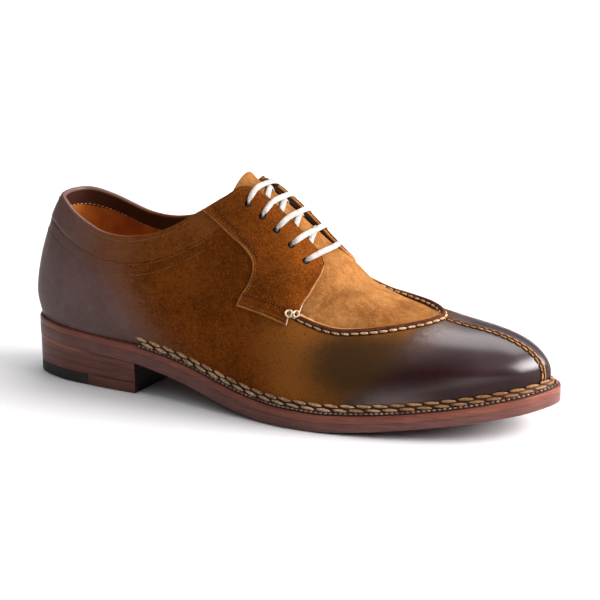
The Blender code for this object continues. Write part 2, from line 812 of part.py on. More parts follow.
def seam_solid(name, places, material):
    """A low ridge along places on the last."""
    profile = [(-1.0, 0.0), (-0.8, 0.6), (0.0, 1.0), (0.8, 0.6), (1.0, 0.0)]
    base = np.array([on_last(place, SEAM_LIFT) for place in places])
    normal = np.array([on_last(place, SEAM_LIFT + 1) for place in places]) - base
    along = np.gradient(base, axis=0)
    sideways = np.cross(along, normal)
    sideways /= np.linalg.norm(sideways, axis=1)[:, None]
    rings = []
    for k in range(len(places)):
        ring = [base[k] + sideways[k] * SEAM_HALF_WIDTH * x + normal[k] * SEAM_HEIGHT * z for x, z in profile]
        rings.append(np.array(ring))
    loft(name, rings, material)


def build_seams(materials):
    places = []
    for side in (-1, 1):
        half = []
        for angle in np.linspace(0, np.pi / 2, SEAM_STATIONS // 2 + 1):
            station = APRON_BACK + (APRON_TIP - APRON_BACK) * math.sin(angle)
            target = side * apron_side(station, side) + TOE_SEAM_SIDE * math.sin(angle) ** 2
            half.append(find_on_last((0, 1), (station, target), float(turn_at(station)), side * 0.4))
        places.extend(half if side < 0 else reversed(half[:-1]))
    seam_solid("apron_seam", places, materials["seam thread"])
    seam_solid("toe_seam", toe_places(), materials["seam thread"])


def toe_places():
    """Places down the middle of the toe, from the apron's tip to just above the welt bead."""
    start = APRON_TIP + SEAM_HALF_WIDTH * 2 + CLEARANCE
    foot = float(sole_top(FEATHER_FRONT)) + CLEARANCE * 2 + BEAD_HEIGHT
    places = []
    place = (float(turn_at(start)), -0.1)
    for bend in np.linspace(0, np.pi / 2, SEAM_STATIONS // 2 + 1):
        station = start + (FEATHER_FRONT - start) * math.sin(bend)
        place = find_on_last((0, 1), (station, toe_side(station)), *place)
        if bare_last(*place)[2] < foot:
            break
        places.append(place)
    return places


def toe_side(station):
    share = (station - APRON_TIP) / (FEATHER_FRONT - APRON_TIP)
    return TOE_SEAM_SIDE + (TOE_TIP_SIDE - TOE_SEAM_SIDE) * share


def build_bead(materials):
    """The raised strip at the foot of the upper, from heel breast round the toe to heel breast."""
    profile = [(1.0, 0.0), (1.0, 0.3), (0.8, 0.72), (0.45, 0.97), (0.04, 1.0), (0.04, 0.0)]
    start = float(turn_at(HEEL_BREAST + 2))
    rings = []
    for sweep in np.linspace(start, 2 - start, BEAD_STATIONS + 1):
        side = -1 if sweep <= 1 else 1
        turn = sweep if sweep <= 1 else 2 - sweep
        station = float(spread(FEATHER_BACK, FEATHER_FRONT, turn))
        foot = float(sole_top(station)) + CLEARANCE
        belly = max(float(column(SECTIONS, "belly_height", anchor(station))), foot + 3)
        width = BEAD_WIDTH * float(column(SOLE_EDGE, "margin", station)) / SOLE_EDGE[-3].margin
        ring = []
        for up, out in profile:
            low = up * BEAD_HEIGHT / (belly - foot)
            touch = on_last((turn, side * (2 - low)), CLEARANCE)
            outward = on_last((turn, side * (2 - low)), CLEARANCE + 1) - touch
            outward[2] = 0
            point = touch + outward / np.linalg.norm(outward) * width * out
            point[2] = float(sole_top(point[0])) + CLEARANCE + up * BEAD_HEIGHT
            ring.append(point)
        rings.append(np.array(ring))
    loft("welt_bead", rings, materials["welt leather"])


def build_materials():
    return {
        "sole leather": paint("sole leather", (0.14, 0.055, 0.035), 0.4),
        "midsole leather": paint("midsole leather", (0.22, 0.085, 0.045), 0.4),
        "heel leather": paint("heel leather", (0.12, 0.055, 0.04), 0.45),
        "rubber": paint("rubber", (0.03, 0.027, 0.025), 0.7),
        "suede": paint("suede", (0.30, 0.13, 0.03), 0.9),
        "apron suede": paint("apron suede", (0.42, 0.20, 0.06), 0.9),
        "lining leather": paint("lining leather", (0.45, 0.2, 0.07), 0.6),
        "insole leather": paint("insole leather", (0.5, 0.3, 0.15), 0.6),
        "welt leather": paint("welt leather", (0.16, 0.07, 0.035), 0.6),
        "seam thread": paint("seam thread", (0.35, 0.22, 0.1), 0.7),
        "lace cotton": paint("lace cotton", (0.8, 0.78, 0.74), 0.85),
    }


def main():
    for existing in list(bpy.data.objects):
        bpy.data.objects.remove(existing, do_unlink=True)
    materials = build_materials()
    build_sole(materials)
    build_insole(materials)
    build_heel(materials)
    upper = build_upper(materials, upper_columns())
    for name, side in (("facing_lateral", -1), ("facing_medial", 1)):
        facing = build_facing(name, side, materials["suede"])
        cut_eyelets((facing, upper), side, materials["suede"])
    build_tongue(materials)
    build_bead(materials)
    build_seams(materials)
    build_lace(materials)


main()
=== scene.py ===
"""Looks of a right derby shoe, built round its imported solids.

Sizes are millimetres until a mesh is made. Station is the distance forward from the back of the sole,
lateral is -Y, medial is +Y, the toe is +X. A place on the last is a pair: turn along the shoe and climb up
its wall. A fade is a pair of values between which something grows softly from none to full.
"""

import math
from collections import namedtuple

import bmesh
import bpy
import numpy as np
from mathutils import Matrix, Vector

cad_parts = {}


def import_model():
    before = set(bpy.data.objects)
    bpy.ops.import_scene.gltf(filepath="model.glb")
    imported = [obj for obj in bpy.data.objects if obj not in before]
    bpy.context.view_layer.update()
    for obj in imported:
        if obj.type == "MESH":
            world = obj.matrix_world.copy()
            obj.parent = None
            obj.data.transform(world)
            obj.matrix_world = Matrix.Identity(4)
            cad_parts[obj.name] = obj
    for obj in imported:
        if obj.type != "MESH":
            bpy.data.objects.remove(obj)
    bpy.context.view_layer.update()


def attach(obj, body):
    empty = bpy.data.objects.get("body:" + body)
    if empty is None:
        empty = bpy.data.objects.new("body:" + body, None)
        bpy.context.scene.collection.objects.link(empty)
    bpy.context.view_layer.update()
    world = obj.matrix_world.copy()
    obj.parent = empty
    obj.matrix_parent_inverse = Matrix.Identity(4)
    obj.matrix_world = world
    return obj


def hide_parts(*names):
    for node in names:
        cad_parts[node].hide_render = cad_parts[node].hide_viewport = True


MM = 0.001
LATERAL = -1
MEDIAL = 1
SIDES = (LATERAL, MEDIAL)

# Driving sizes, shared with the solids
LENGTH = 306.0
WALL = 2.0
TOE_TIP_SIDE = 3.0
HEEL_BACK_SIDE = -1.0
HEEL_BREAST = 77.8
HEEL_HEIGHT_FRONT = 16.9
HEEL_SLOPE = 0.062
BALL_BACK = 172.0
BALL_FRONT = 194.0
TOE_SPRING = 15.6
TOE_SPRING_POWER = 1.3
SHANK_ROUNDNESS = 0.49
MIDSOLE = 3.6
TOP_PIECE = 6.0
HEEL_LIFTS = 3
HEEL_INSET = 0.2
HEEL_TAPER = 0.3
RUBBER_FRONT_LATERAL = 46.0
RUBBER_FRONT_MEDIAL = 30.0
HEEL_ANCHOR = 40.0
TOE_ANCHOR = 254.0
ANCHOR_SOFTNESS = 9.0
SECTION_ROOT = 1.85
FOOT_CLIMB = 2.0
CLIMB_STEPS = 401
FOOT_GAP = 0.3
BELLY_LEAST = 3.0
MEDIAL_RISE = 1.5
THROAT_TOP = 137.0
THROAT_HALF = 9.6
THROAT_SPREAD = 0.05
THROAT_CENTRE = -1.6
APRON_BACK = 176.0
APRON_TIP = 242.5
APRON_HALF = {LATERAL: 39.2, MEDIAL: 30.0}
APRON_POWER = 0.58
TOE_SEAM_SIDE = -1.5
TOE_SEAM_END = -3.4
TOE_WALL = 4.0
TOE_SEAM_FOOT = 3.5
EYELETS = 5
EYELET_FIRST = 138.7
EYELET_LAST = 173.2
EYELET_EDGE = 6.6
EYELET_EDGE_SPREAD = 0.06
EYELET_RADIUS = 1.9
OUTLINE_STEPS = 28
GAP = 0.05

# Search for places on the last: rounds, longest steps, and the climbs where it starts
FIND_ROUNDS = 16
FIND_TURN = 0.05
FIND_CLIMB = 0.1
APRON_CLIMB = 0.4
SIDE_CLIMB = 0.5
FRONT_CLIMB = 0.3
TOE_CLIMB = -0.1

# Camera: it stands where the photograph was taken from, and turns to the middle of the shoe
CAMERA_AZIMUTH = 26.37
CAMERA_ELEVATION = 12.23
CAMERA_ROLL = -0.292
CAMERA_DISTANCE = 1131.04
CAMERA_FOCAL_PIXELS = 2163.236
CAMERA_TARGET = (181.665, 0.0, 107.602)
CAMERA_AIM = (159.4, 0.0, 53.0)
PHOTO_PIXELS = 600
SENSOR = 36.0

# Plan of the sole: station, lateral and medial half width
SOLE_PLAN = [
    (5, 18.5, 18.0),
    (24, 30.5, 28.5),
    (50, 35.3, 30.5),
    (80, 37.8, 28.5),
    (110, 40.3, 27.5),
    (145, 48.0, 33.5),
    (180, 54.2, 43.5),
    (215, 51.5, 49.5),
    (250, 43.0, 45.5),
    (280, 31.0, 34.5),
    (298, 16.8, 20.0),
]

Edge = namedtuple("Edge", "station thickness margin")
SOLE_EDGE = [
    Edge(0, 10.0, 1.8),
    Edge(60, 10.0, 1.8),
    Edge(85, 10.1, 3.0),
    Edge(120, 10.4, 4.4),
    Edge(160, 9.6, 5.8),
    Edge(200, 8.6, 6.8),
    Edge(250, 7.8, 7.0),
    Edge(285, 8.2, 6.8),
    Edge(306, 8.6, 6.5),
]

Section = namedtuple(
    "Section", "station spine crest belly_height belly_lateral belly_medial crown_lateral crown_medial"
)
SECTIONS = [
    Section(40, -2.0, 120.0, 46.0, 2.6, 2.6, 1.55, 1.55),
    Section(72, -1.8, 125.0, 44.0, 2.4, 2.4, 1.27, 1.30),
    Section(110, -0.8, 128.5, 40.0, 2.0, 3.0, 1.30, 1.40),
    Section(137, 0.4, 119.0, 36.0, 1.8, 4.0, 1.40, 1.50),
    Section(157, 0.6, 104.0, 33.0, 1.8, 4.5, 1.40, 1.60),
    Section(181, 0.6, 81.2, 29.5, 2.0, 4.0, 1.42, 1.65),
    Section(200, 0.8, 67.2, 28.0, 2.2, 3.2, 1.48, 1.65),
    Section(215, 1.2, 60.8, 27.0, 2.2, 2.8, 1.80, 1.80),
    Section(232, 1.8, 56.2, 28.0, 1.8, 2.2, 2.10, 2.00),
    Section(254, 2.5, 51.4, 30.0, 1.2, 1.4, 2.30, 2.10),
]

# Edge of the collar seen from the side, as pairs of station and height, like the lines after it
TOPLINE = [
    (0, 100.0), (12, 98.4), (29, 93.4), (43, 88.4), (53, 85.2), (62, 84.0), (74, 84.4), (85, 86.7),
    (97, 91.6), (107, 97.6), (115, 102.4), (123, 107.8), (130, 112.0), (135, 115.5), (142, 122.0),
]

# Top edge of the body where the facing covers it
BODY_COVER = [
    (100, 130.0), (112, 112.0), (117, 106.0), (133, 97.0), (144, 89.5),
    (150, 82.0), (153, 67.0), (157, 61.0), (165, 59.0), (178, 57.5),
]

# Lower seam of the collar band
BAND_SEAM = [
    (0, 87.5), (13, 85.7), (30, 80.0), (45, 74.6), (57, 71.5), (70, 71.1),
    (81, 72.4), (93, 75.9), (104, 80.7), (115, 86.8), (128, 96.0),
]

# Back edge of the facing, and the end of its tab
FACING_BACK = [
    (113.6, 101.9), (117.0, 100.4), (133.0, 91.4), (144.5, 84.2), (148.6, 79.5),
    (149.6, 75.0), (148.3, 68.0), (145.3, 62.5), (143.6, 57.4),
]
FACING_TAB = [(174.8, 57.8), (173.6, 51.0)]

# Front edge of the facing in plan: station and distance from the throat's centre line
FACING_FRONT = [(177.0, 12.1), (180.4, 14.4), (181.6, 18.6), (181.4, 24.0), (179.4, 31.4), (177.0, 36.4)]
FACING_COLLAR = (118.0, 123.0, 128.0, 131.5)
FACING_CORNER = 137.4
FACING_CORNER_DROP = 0.012
FACING_THROAT = (142.5, 147.0, 152.0, 158.0, 164.0, 169.0, 173.0)
FACING_SPLIT = 180.0

# Body, lining and collar
BODY_COLUMNS = 280
BODY_ROWS = 52
LINING_ROWS = BODY_ROWS // 2
SKIN = 0.9
BODY_TO_APRON = (172.0, 178.0)
LINING_BAND = 9.0
LINING_FRONT = 140.0
LINING_STITCH_FRONT = 118.0
NO_BAND = 50.0
BAND_FRONT = 128.0
BAND_STEPS = 90
BAND_THICKNESS = 0.75
BAND_ROUND = 0.12
BAND_SEAT = 0.02
BAND_SHARES = np.array([0.0, 0.02, 0.06, 0.12, 0.25, 0.4, 0.55, 0.7, 0.82, 0.9, 0.96, 1.0])
COLLAR_FRONT = 134.0
COLLAR_STEPS = 110
COLLAR_ROLL = (1.35, 1.1)
COLLAR_ROLL_DEPTH = 0.75
COLLAR_ROLL_CLIMB = 0.02

# Polish and smoke of the upper, and the painted floor reflection and painted highlight on the toe's wax
TOE_POLISH = (184.0, 244.0)
TOE_POLISH_LEAN = 0.8
TOE_POLISH_HEIGHT = 18.0
HEEL_POLISH = (42.0, 122.0)
HEEL_POLISH_LEAN = 0.75
HEEL_POLISH_HEIGHT = 40.0
HEEL_GLOSS = 0.34
HEEL_END = 130.0
FOOT_POLISH = 0.16
FOOT_POLISH_FADE = (3.0, 9.0)
SMOKE = 0.95
SMOKE_FADE = (156.0, 216.0)
SMOKE_HEIGHT = 39.0
SMOKE_UP = 15.0
SMOKE_DOWN = 34.0
GLOW = 0.6
GLOW_FADE = (148.0, 186.0)
GLOW_END = (230.0, 250.0)
TOE_COLOURS = (130.0, 160.0)
# Painted reflection of the floor along the foot of the toe's wax, and a painted highlight near the apron's
# tip
FOOT_REFLECTION = 0.42
FOOT_REFLECTION_HEIGHT = 3.0
FOOT_REFLECTION_REACH = 5.0
FOOT_REFLECTION_FADE = (190.0, 225.0)
FOOT_REFLECTION_END = (236.0, 262.0)
TOP_HIGHLIGHT = 0.5
TOP_HIGHLIGHT_STATION = 236.0
TOP_HIGHLIGHT_LENGTH = 15.0
TOP_HIGHLIGHT_HEIGHT = 52.0
TOP_HIGHLIGHT_REACH = 8.0
DULL_CORE = 0.9
DULL_CORE_HEIGHT = 18.0
DULL_CORE_REACH = 7.5
DULL_CORE_END = (252.0, 278.0)
DULL_TIP = 0.7
DULL_TIP_FADE = (226.0, 258.0)
DULL_TIP_TOP = (9.0, 15.0)
COLLAR_POLISH = 0.66
COLLAR_POLISH_LEAST = 0.14
COLLAR_POLISH_FADE = (5.0, 100.0)
COLLAR_GLOW = 0.1
COLLAR_GLOSS = 0.4

# Apron and tongue
APRON_THICKNESS = 1.6
APRON_COLUMNS = 90
APRON_ROWS = 61
APRON_ANGLES = (0.05, math.pi / 2 - 0.02)
APRON_JOIN = (174.0, 178.0)
APRON_OVERLAP = 2.0
APRON_DIP = 1.4
APRON_DIP_FADE = (184.0, 196.0)
APRON_DIP_END = (232.0, 241.0)
TONGUE_TOP = 130.0
TONGUE_COLUMNS = 50
TONGUE_STATIONS = (124.0, 150.0, 166.0)
TONGUE_HALVES = (20.0, 24.0, 29.0)
TONGUE_DROP = 5.0
TONGUE_DROP_FADE = (TONGUE_TOP, 150.0)
TONGUE_RIM = 1.2
TONGUE_RIM_FADE = (TONGUE_TOP, TONGUE_TOP + 5.0)
TONGUE_SINKS = [(1.6, (170.0, 184.0)), (0.8, (146.0, 172.0))]
TONGUE_FLAT = 1.6
TONGUE_FLAT_REACH = 6.0
TONGUE_FLAT_END = (140.0, 176.0)
TONGUE_LEAN = 1.2
TONGUE_LEAN_FADE = (2.0, 9.0)
TONGUE_LEAN_END = (158.0, 176.0)
TONGUE_SHADE = 0.2
TONGUE_SHADE_END = (136.0, 148.0)
CREASE_SHADE = 1.2
Crease = namedtuple("Crease", "station side length width lean depth")
CREASES = [
    Crease(196.0, -15.0, 8.0, 2.6, 0.9, 0.45),
    Crease(222.0, -2.0, 7.0, 2.4, 1.1, 0.4),
    Crease(208.0, -22.0, 10.0, 3.0, 0.35, 0.3),
    Crease(206.0, 6.0, 9.0, 3.0, 0.7, 0.3),
    Crease(190.0, -27.0, 6.0, 2.2, 1.2, 0.3),
]

# Facings and lace
FACING_TOP = 1.6
FACING_LOW = 0.2
FACING_ROUND = 0.8
FACING_LAP = (5.0, 10.0)
FACING_ROWS = 80
FACING_COLUMNS = 110
FACING_EVEN = 0.35
FACING_BACK_STEPS = 60
FACING_WHOLE_STEPS = 600
FACING_FREE_STEPS = 200
FACING_SIDE_STEPS = 120
FACING_BOTTOM_STEPS = 60
FACING_FRONT_ONLY = 170.0
BORDER_SKIN = 2
EDGE_SKIN = 3
PLACE_SCALE = np.array([450.0, 80.0])
PUFF = {LATERAL: 2.4, MEDIAL: 0.0}
PUFF_BACK = (6.0, 24.0)
PUFF_FRONT = (0.0, 5.0)
PUFF_FULL = (0.0, 12.0)
PUFF_LEAST = 0.3
EYELET_STEPS = 24
EYELET_ROD = 6.0
LACE_HALF_WIDTH = 1.6
LACE_HALF_HEIGHT = 1.05
LACE_FLAT = 0.75
LACE_SIDES = 14
LACE_STEPS = 90
DIAGONAL_STEPS = 40
LACE_BOW = 4.0
LACE_OVER = FACING_TOP + LACE_HALF_HEIGHT - 0.45
LACE_CROWN = 0.3
LACE_EDGE_SINK = 0.2
LACE_NARROW = 0.86
LACE_NARROW_FADE = (0.05, 0.22)
Spot = namedtuple("Spot", "turn climb edge rise edge_rise")

# Way of a lace bar out of its eyelet: share of the way to the edge, share of its bow, height over the last
LACE_WAY = [
    (0.06, 0.0, -2.2),
    (0.1, 0.0, 0.3),
    (0.28, 0.28, LACE_OVER * 0.84),
    (0.62, 0.62, LACE_OVER),
]

# Stitches, and how finely they are meshed: sides, steps and taper
Stitch = namedtuple("Stitch", "length width height pitch tilt")
LINING_STITCH = Stitch(1.7, 0.6, 0.5, 2.4, 0.0)
APRON_STITCH = Stitch(4.5, 1.5, 1.4, 4.9, 0.12)
TOE_STITCH = Stitch(3.9, 0.95, 1.0, 4.2, 0.06)
TOE_DASH = Stitch(2.3, 0.8, 0.5, 4.4, 0.1)
BRAID = Stitch(7.9, 1.75, 1.45, 8.8, 0.1)
WELT_STITCH = Stitch(1.9, 1.0, 0.9, 2.7, 0.0)
FACING_STITCH = Stitch(1.2, 0.5, 0.4, 1.7, 0.0)
COLLAR_STITCH = Stitch(1.2, 0.5, 0.45, 1.6, 0.0)
PLAIN_MESH = (8, 7, 0.7)
SMALL_MESH = (6, 4, 0.7)
POINTED_MESH = (10, 9, 1.0)
ROW_STEPS = 120

# Seams of apron and toe: half width and height of a ridge, sideways and upward shift of what lies beside it
APRON_RIDGE = (1.45, 2.4)
APRON_SEAM_STEPS = 120
APRON_STITCH_SHIFTS = [(-1.3, 0.0), (1.35, 0.5)]
# A dark strip below the apron's stitches: painted shadow
APRON_SHADE_LINE = (0.5, 0.12)
APRON_SHADE_LINE_SHIFT = (2.1, 0.0)
APRON_LIP = (0.5, 0.42)
APRON_LIP_SHIFT = (-0.95, 1.5)
APRON_LIP_STEPS = 56
APRON_LIP_END = (20, 55)
APRON_LIP_SHRINK = 0.85
TOE_RIDGE = (0.95, 1.3)
TOE_SEAM_STEPS = 90
TOE_STITCH_SHIFTS = [(-1.0, 0.4), (1.0, 0.4)]
TOE_DASH_SHIFT = (-0.15, 0.95)
TOE_DASH_FIRST = 4
RIDGE_SINK = 0.3
RIDGE_POWER = 0.8

# Loops of a knot: shift along the seam, reach and half thickness of the strand
KNOT_LOOPS = [(2.1, 1.7, 0.52), (-1.8, 1.45, 0.58)]
KNOT_HEIGHT = 2.0
KNOT_WAVE = 0.5
KNOT_STEPS = 28
KNOT_SIDES = 8

# Welt: profile as distance from the wall and height, braids as height, distance and upward lean of each row
WELT_BACK = HEEL_BREAST + 4
WELT_STEPS = 420
WELT_FULL_MARGIN = 7.0
WELT_LEAST = 0.62
WELT_PROFILE = [
    (-0.3, 0.1), (-0.3, 4.2), (0.5, 4.0), (1.4, 3.0), (2.4, 1.7), (3.6, 0.9), (5.0, 0.5), (5.2, 0.1)
]
BRAID_OUTER = (2.2, 2.4, 1.3)
BRAID_INNER = (4.2, 0.65, 0.8)
BRAID_AGE = 0.75
BRAID_AGE_FADE = (190.0, 290.0)
WELT_STITCH_HEIGHT = 1.05
WELT_STITCH_OUT = 4.3

# Rows on the facing: distance from an edge, the edge, first and last share of its length
# Dark strips along two pressed rows and along the throat edge are painted shade
FACING_SHADE_LINE_ROWS = [(4.8, "back", 0.03, 0.62), (5.8, "bottom", 0.02, 0.98)]
FACING_THROAT_ROW = (0.3, "free", 0.39, 0.8)
FACING_STITCH_ROWS = [
    (1.7, "back", 0.01, 0.97),
    (4.8, "back", 0.03, 0.62),
    (1.7, "bottom", 0.03, 0.97),
    (5.8, "bottom", 0.02, 0.98),
    (2.0, "free", 0.06, 0.5),
]
FACING_TURNED_ROWS = [(0.4, "back", 0.0, 1.0), (0.4, "bottom", 0.0, 1.0)]
FACING_TURNED_SINK = 0.45
FACING_SHADE_LINE_SINK = 0.22
FACING_FRONT_SINK = 0.6
FACING_FRONT_START = 174.0
FACING_RIM_FIRST = 76
FACING_RIM_HEIGHT = 0.3
FACING_RIM_SHIFT = 0.15
FACING_ROW_STEPS = 160
FACING_TURNED = (0.68, 0.56)
FACING_RIM = (0.35, 0.7)
FACING_SHADE_LINE = (0.42, 0.14)
FACING_PALE = (0.38, 0.66)
FACING_PALE_LEAST = 0.3
FACING_PALE_FADE = (0.3, 0.7)

# Rows on the collar: line, distance below it, height over the last, front end
COLLAR_ROWS = [(TOPLINE, 2.0, 0.8, 112.0), (BAND_SEAM, 1.2, 0.1, 122.0), (BAND_SEAM, 6.6, 0.1, 118.0)]

# Sole: round edges, insole levels as inset and height above the sole, painted highlight on the heel's upper
# edge
SOLE_STEPS = 150
EDGE_SHARE = 0.3
SOLE_ROUND = 0.5
SOLE_JOINT_ROUND = 0.12
MIDSOLE_ROUND = 0.6
INSOLE_GAP = 0.4
INSOLE_LEVELS = [(0.0, 0.3), (0.0, 2.4), (0.5, 2.8)]
LIFT_STEPS = 80
LIFT_GAP = 0.06
LIFT_ROUND = 0.06
RUBBER_STEPS = 60
RUBBER_GAP = 0.1
RUBBER_ROUND = 0.3
TOP_PIECE_STEPS = 30
# Painted highlight along the heel stack's upper edge at the back
EDGE_HIGHLIGHT = 0.8
EDGE_HIGHLIGHT_BELOW = (-0.75, -0.45)
EDGE_HIGHLIGHT_END = (34.0, 52.0)

# Studio, in metres: floor tones over the distance from the shoe, sky light over height and side, area lights
FLOOR_HALF = 12.0
FLOOR_DROP = 0.0003
# Greyer near the shoe: painted shade round it
FLOOR_NEAR = (0.66, 0.66, 0.66)
FLOOR_FAR = (0.95, 0.95, 0.95)
FLOOR_FADE = (0.35, 1.2)
FLOOR_GLOW = 1.1
FLOOR_GLOW_FADE = (0.7, 3.2)
SKY_COLOUR = (0.96, 0.98, 1.0)
SKY_RISE = (0.12, 0.62)
SKY_LIGHT = (0.06, 0.82)
SKY_SIDE = (-0.9, 0.1)
SKY_SIDE_LIGHT = (0.6, 1.0)
Light = namedtuple("Light", "name place target size power colour")
LIGHTS = [
    Light("back", (-0.05, 0.72, 1.3), (0.06, 0.0, 0.05), (1.4, 0.9), 17.0, (1.0, 0.96, 0.97)),
    Light("right", (1.15, 0.26, 0.7), (0.14, 0.0, 0.04), (1.5, 0.72), 44.0, (1.0, 0.95, 0.97)),
    Light("toe", (0.86, 0.27, 0.4), (0.14, 0.0, 0.04), (0.55, 0.4), 6.0, (1.0, 0.95, 0.97)),
]


# Curves


def cubic(start, end, leave, arrive, u):
    """Cubic curve from start to end for u from 0 to 1, with its tangents at both ends."""
    tangents = leave * (u ** 3 - 2 * u ** 2 + u) + arrive * (u ** 3 - u ** 2)
    return start + (end - start) * (3 * u ** 2 - 2 * u ** 3) + tangents


def hermite(at, stations, values):
    """Smooth curve through a table's column, with tangents from the neighbouring rows."""
    x = np.asarray(stations, float)
    y = np.asarray(values, float)
    at = np.clip(np.asarray(at, float), x[0], x[-1])
    step = np.diff(x)
    slope = np.diff(y) / step
    inner = (slope[:-1] * step[1:] + slope[1:] * step[:-1]) / (step[1:] + step[:-1])
    tangent = np.concatenate([slope[:1], inner, slope[-1:]])
    row = np.clip(np.searchsorted(x, at) - 1, 0, len(step) - 1)
    u = (at - x[row]) / step[row]
    return cubic(y[row], y[row + 1], tangent[row] * step[row], tangent[row + 1] * step[row], u)


def column(table, name, at):
    return hermite(at, [row.station for row in table], [getattr(row, name) for row in table])


def height_at(line, station):
    """Height of a line of station and height pairs."""
    return hermite(station, *zip(*line))


def smooth(value, low, high):
    """0 below low, 1 above high, with soft ends."""
    share = np.clip((np.asarray(value, float) - low) / (high - low), 0, 1)
    return share * share * (3 - 2 * share)


def bell(value, middle, reach):
    """1 at the middle, falling softly to either side."""
    return np.exp(-(((value - middle) / reach) ** 2))


def closed_curve(points, steps):
    """Smooth closed curve through the given corner points."""
    corner = np.asarray(points, float)
    following = np.roll(corner, -1, axis=0)
    before = np.roll(corner, 1, axis=0)
    ahead = np.linalg.norm(following - corner, axis=1)[:, None]
    behind = np.roll(ahead, 1, axis=0)
    tangent = (corner - before) / behind * ahead + (following - corner) / ahead * behind
    tangent /= ahead + behind
    arriving = np.roll(tangent, -1, axis=0) * ahead
    u = np.linspace(0, 1, steps, endpoint=False)[:, None]
    return np.concatenate([cubic(*ends, u) for ends in zip(corner, following, tangent * ahead, arriving)])


def open_curve(points, steps):
    """Smooth open curve through the given points, with even spacing."""
    corner = np.asarray(points, float)
    length = np.concatenate([[0.0], np.cumsum(np.linalg.norm(np.diff(corner, axis=0), axis=1))])
    at = np.linspace(0, length[-1], steps)
    return np.stack([hermite(at, length, corner[:, axis]) for axis in range(corner.shape[1])], axis=1)


# Sole and last


def sole_outline():
    heel = [(0.0, HEEL_BACK_SIDE)]
    lateral = [(station, -half) for station, half, _ in SOLE_PLAN]
    toe = [(LENGTH, TOE_TIP_SIDE)]
    medial = [(station, half) for station, _, half in reversed(SOLE_PLAN)]
    return closed_curve(heel + lateral + toe + medial, OUTLINE_STEPS)


OUTLINE = sole_outline()
MIDDLE = (OUTLINE.max(axis=0) + OUTLINE.min(axis=0)) / 2
ORIGIN = np.array([MIDDLE[0], MIDDLE[1], 0.0])


def inset_outline(inset):
    along = np.roll(OUTLINE, -1, axis=0) - np.roll(OUTLINE, 1, axis=0)
    outward = np.stack([along[:, 1], -along[:, 0]], axis=1)
    outward /= np.linalg.norm(outward, axis=1)[:, None]
    return OUTLINE - outward * np.broadcast_to(inset, len(OUTLINE))[:, None]


def inset_sides(inset):
    """The outline moved inwards, as one lateral and one medial curve that run from heel to toe."""
    moved = inset_outline(inset)
    heel = int(np.argmin(moved[:, 0]))
    moved = np.roll(moved, -heel, axis=0)
    toe = int(np.argmax(moved[:, 0]))
    lateral = moved[: toe + 1]
    medial = np.concatenate([moved[:1], moved[:toe - 1:-1]])
    return lateral, medial


def spread(first, final, turn):
    """Stations that lie close together at both ends, for turn from 0 to 1."""
    return first + (final - first) * (1 - np.cos(np.pi * turn)) / 2


def underside(station):
    """Height of the outsole's underside."""
    station = np.asarray(station, float)
    back = np.clip((BALL_BACK - station) / (BALL_BACK - HEEL_BREAST), 0, 1)
    ramp = back ** 2 * (3 - 2 * back)
    arc = 1 - np.cos(back * np.pi / 2)
    shank = HEEL_HEIGHT_FRONT * (ramp * (1 - SHANK_ROUNDNESS) + arc * SHANK_ROUNDNESS)
    seat = np.clip(HEEL_BREAST - station, 0, None) * HEEL_SLOPE
    front = np.clip((station - BALL_FRONT) / (LENGTH - BALL_FRONT), 0, None)
    return shank + seat + TOE_SPRING * front ** TOE_SPRING_POWER


def sole_top(station):
    return underside(station) + column(SOLE_EDGE, "thickness", station)


def outsole_top(station):
    return sole_top(station) - MIDSOLE - 2 * GAP


FEATHER_LATERAL, FEATHER_MEDIAL = inset_sides(column(SOLE_EDGE, "margin", OUTLINE[:, 0]))
FEATHER_BACK = FEATHER_LATERAL[0, 0]
FEATHER_FRONT = FEATHER_LATERAL[-1, 0]


def anchor(station):
    """Place on the spine that a wall line leans to; it stops short of heel and toe, where lines fan out."""
    low = ANCHOR_SOFTNESS * np.logaddexp(0, (station - HEEL_ANCHOR) / ANCHOR_SOFTNESS)
    return TOE_ANCHOR - ANCHOR_SOFTNESS * np.logaddexp(0, (TOE_ANCHOR - HEEL_ANCHOR - low) / ANCHOR_SOFTNESS)


def foot_and_belly(station):
    """Heights of the last's lower edge and of its fullest line."""
    foot = sole_top(station) + FOOT_GAP
    return foot, np.maximum(column(SECTIONS, "belly_height", anchor(station)), foot + BELLY_LEAST)


def bare_last(turn, climb):
    """A point of the last. Climb is -2 at the lateral foot, -1 at its belly, 0 at the crest, then 1 and 2."""
    turn, climb = np.broadcast_arrays(np.asarray(turn, float), np.asarray(climb, float))
    past = (turn < 0) | (turn > 1)
    turn = np.where(turn < 0, -turn, np.where(turn > 1, 2 - turn, turn))
    climb = np.where(past, -climb, climb)
    lateral = climb <= 0
    station = spread(FEATHER_BACK, FEATHER_FRONT, turn)
    side_lateral = np.interp(station, *FEATHER_LATERAL.T)
    side_medial = np.interp(station, *FEATHER_MEDIAL.T)
    spine = anchor(station)
    spine_side = column(SECTIONS, "spine", spine)
    reach_x = station - spine
    reach_y = np.where(lateral, side_lateral, side_medial) - spine_side
    bulge = np.where(lateral, *(column(SECTIONS, name, spine) for name in ("belly_lateral", "belly_medial")))
    crown = np.where(lateral, *(column(SECTIONS, name, spine) for name in ("crown_lateral", "crown_medial")))
    crest = column(SECTIONS, "crest", spine)
    foot, belly = foot_and_belly(station)
    up = np.clip(FOOT_CLIMB - np.abs(climb), 0, FOOT_CLIMB)
    low = np.clip(up, 0, 1)
    angle = np.clip(up - 1, 0, 1) * np.pi / 2
    fullness = 1 + bulge / np.hypot(reach_x, reach_y)
    low_share = 1 + (fullness - 1) * np.sin(low * np.pi / 2)
    high_share = fullness * np.cos(angle) ** (2 / SECTION_ROOT)
    share = np.where(up < 1, low_share, high_share)
    rise = np.sin(angle) ** (2 / crown)
    height = np.where(up < 1, foot + (belly - foot) * low, belly + (crest - belly) * rise)
    return np.stack([spine + reach_x * share, spine_side + reach_y * share, height], axis=-1)


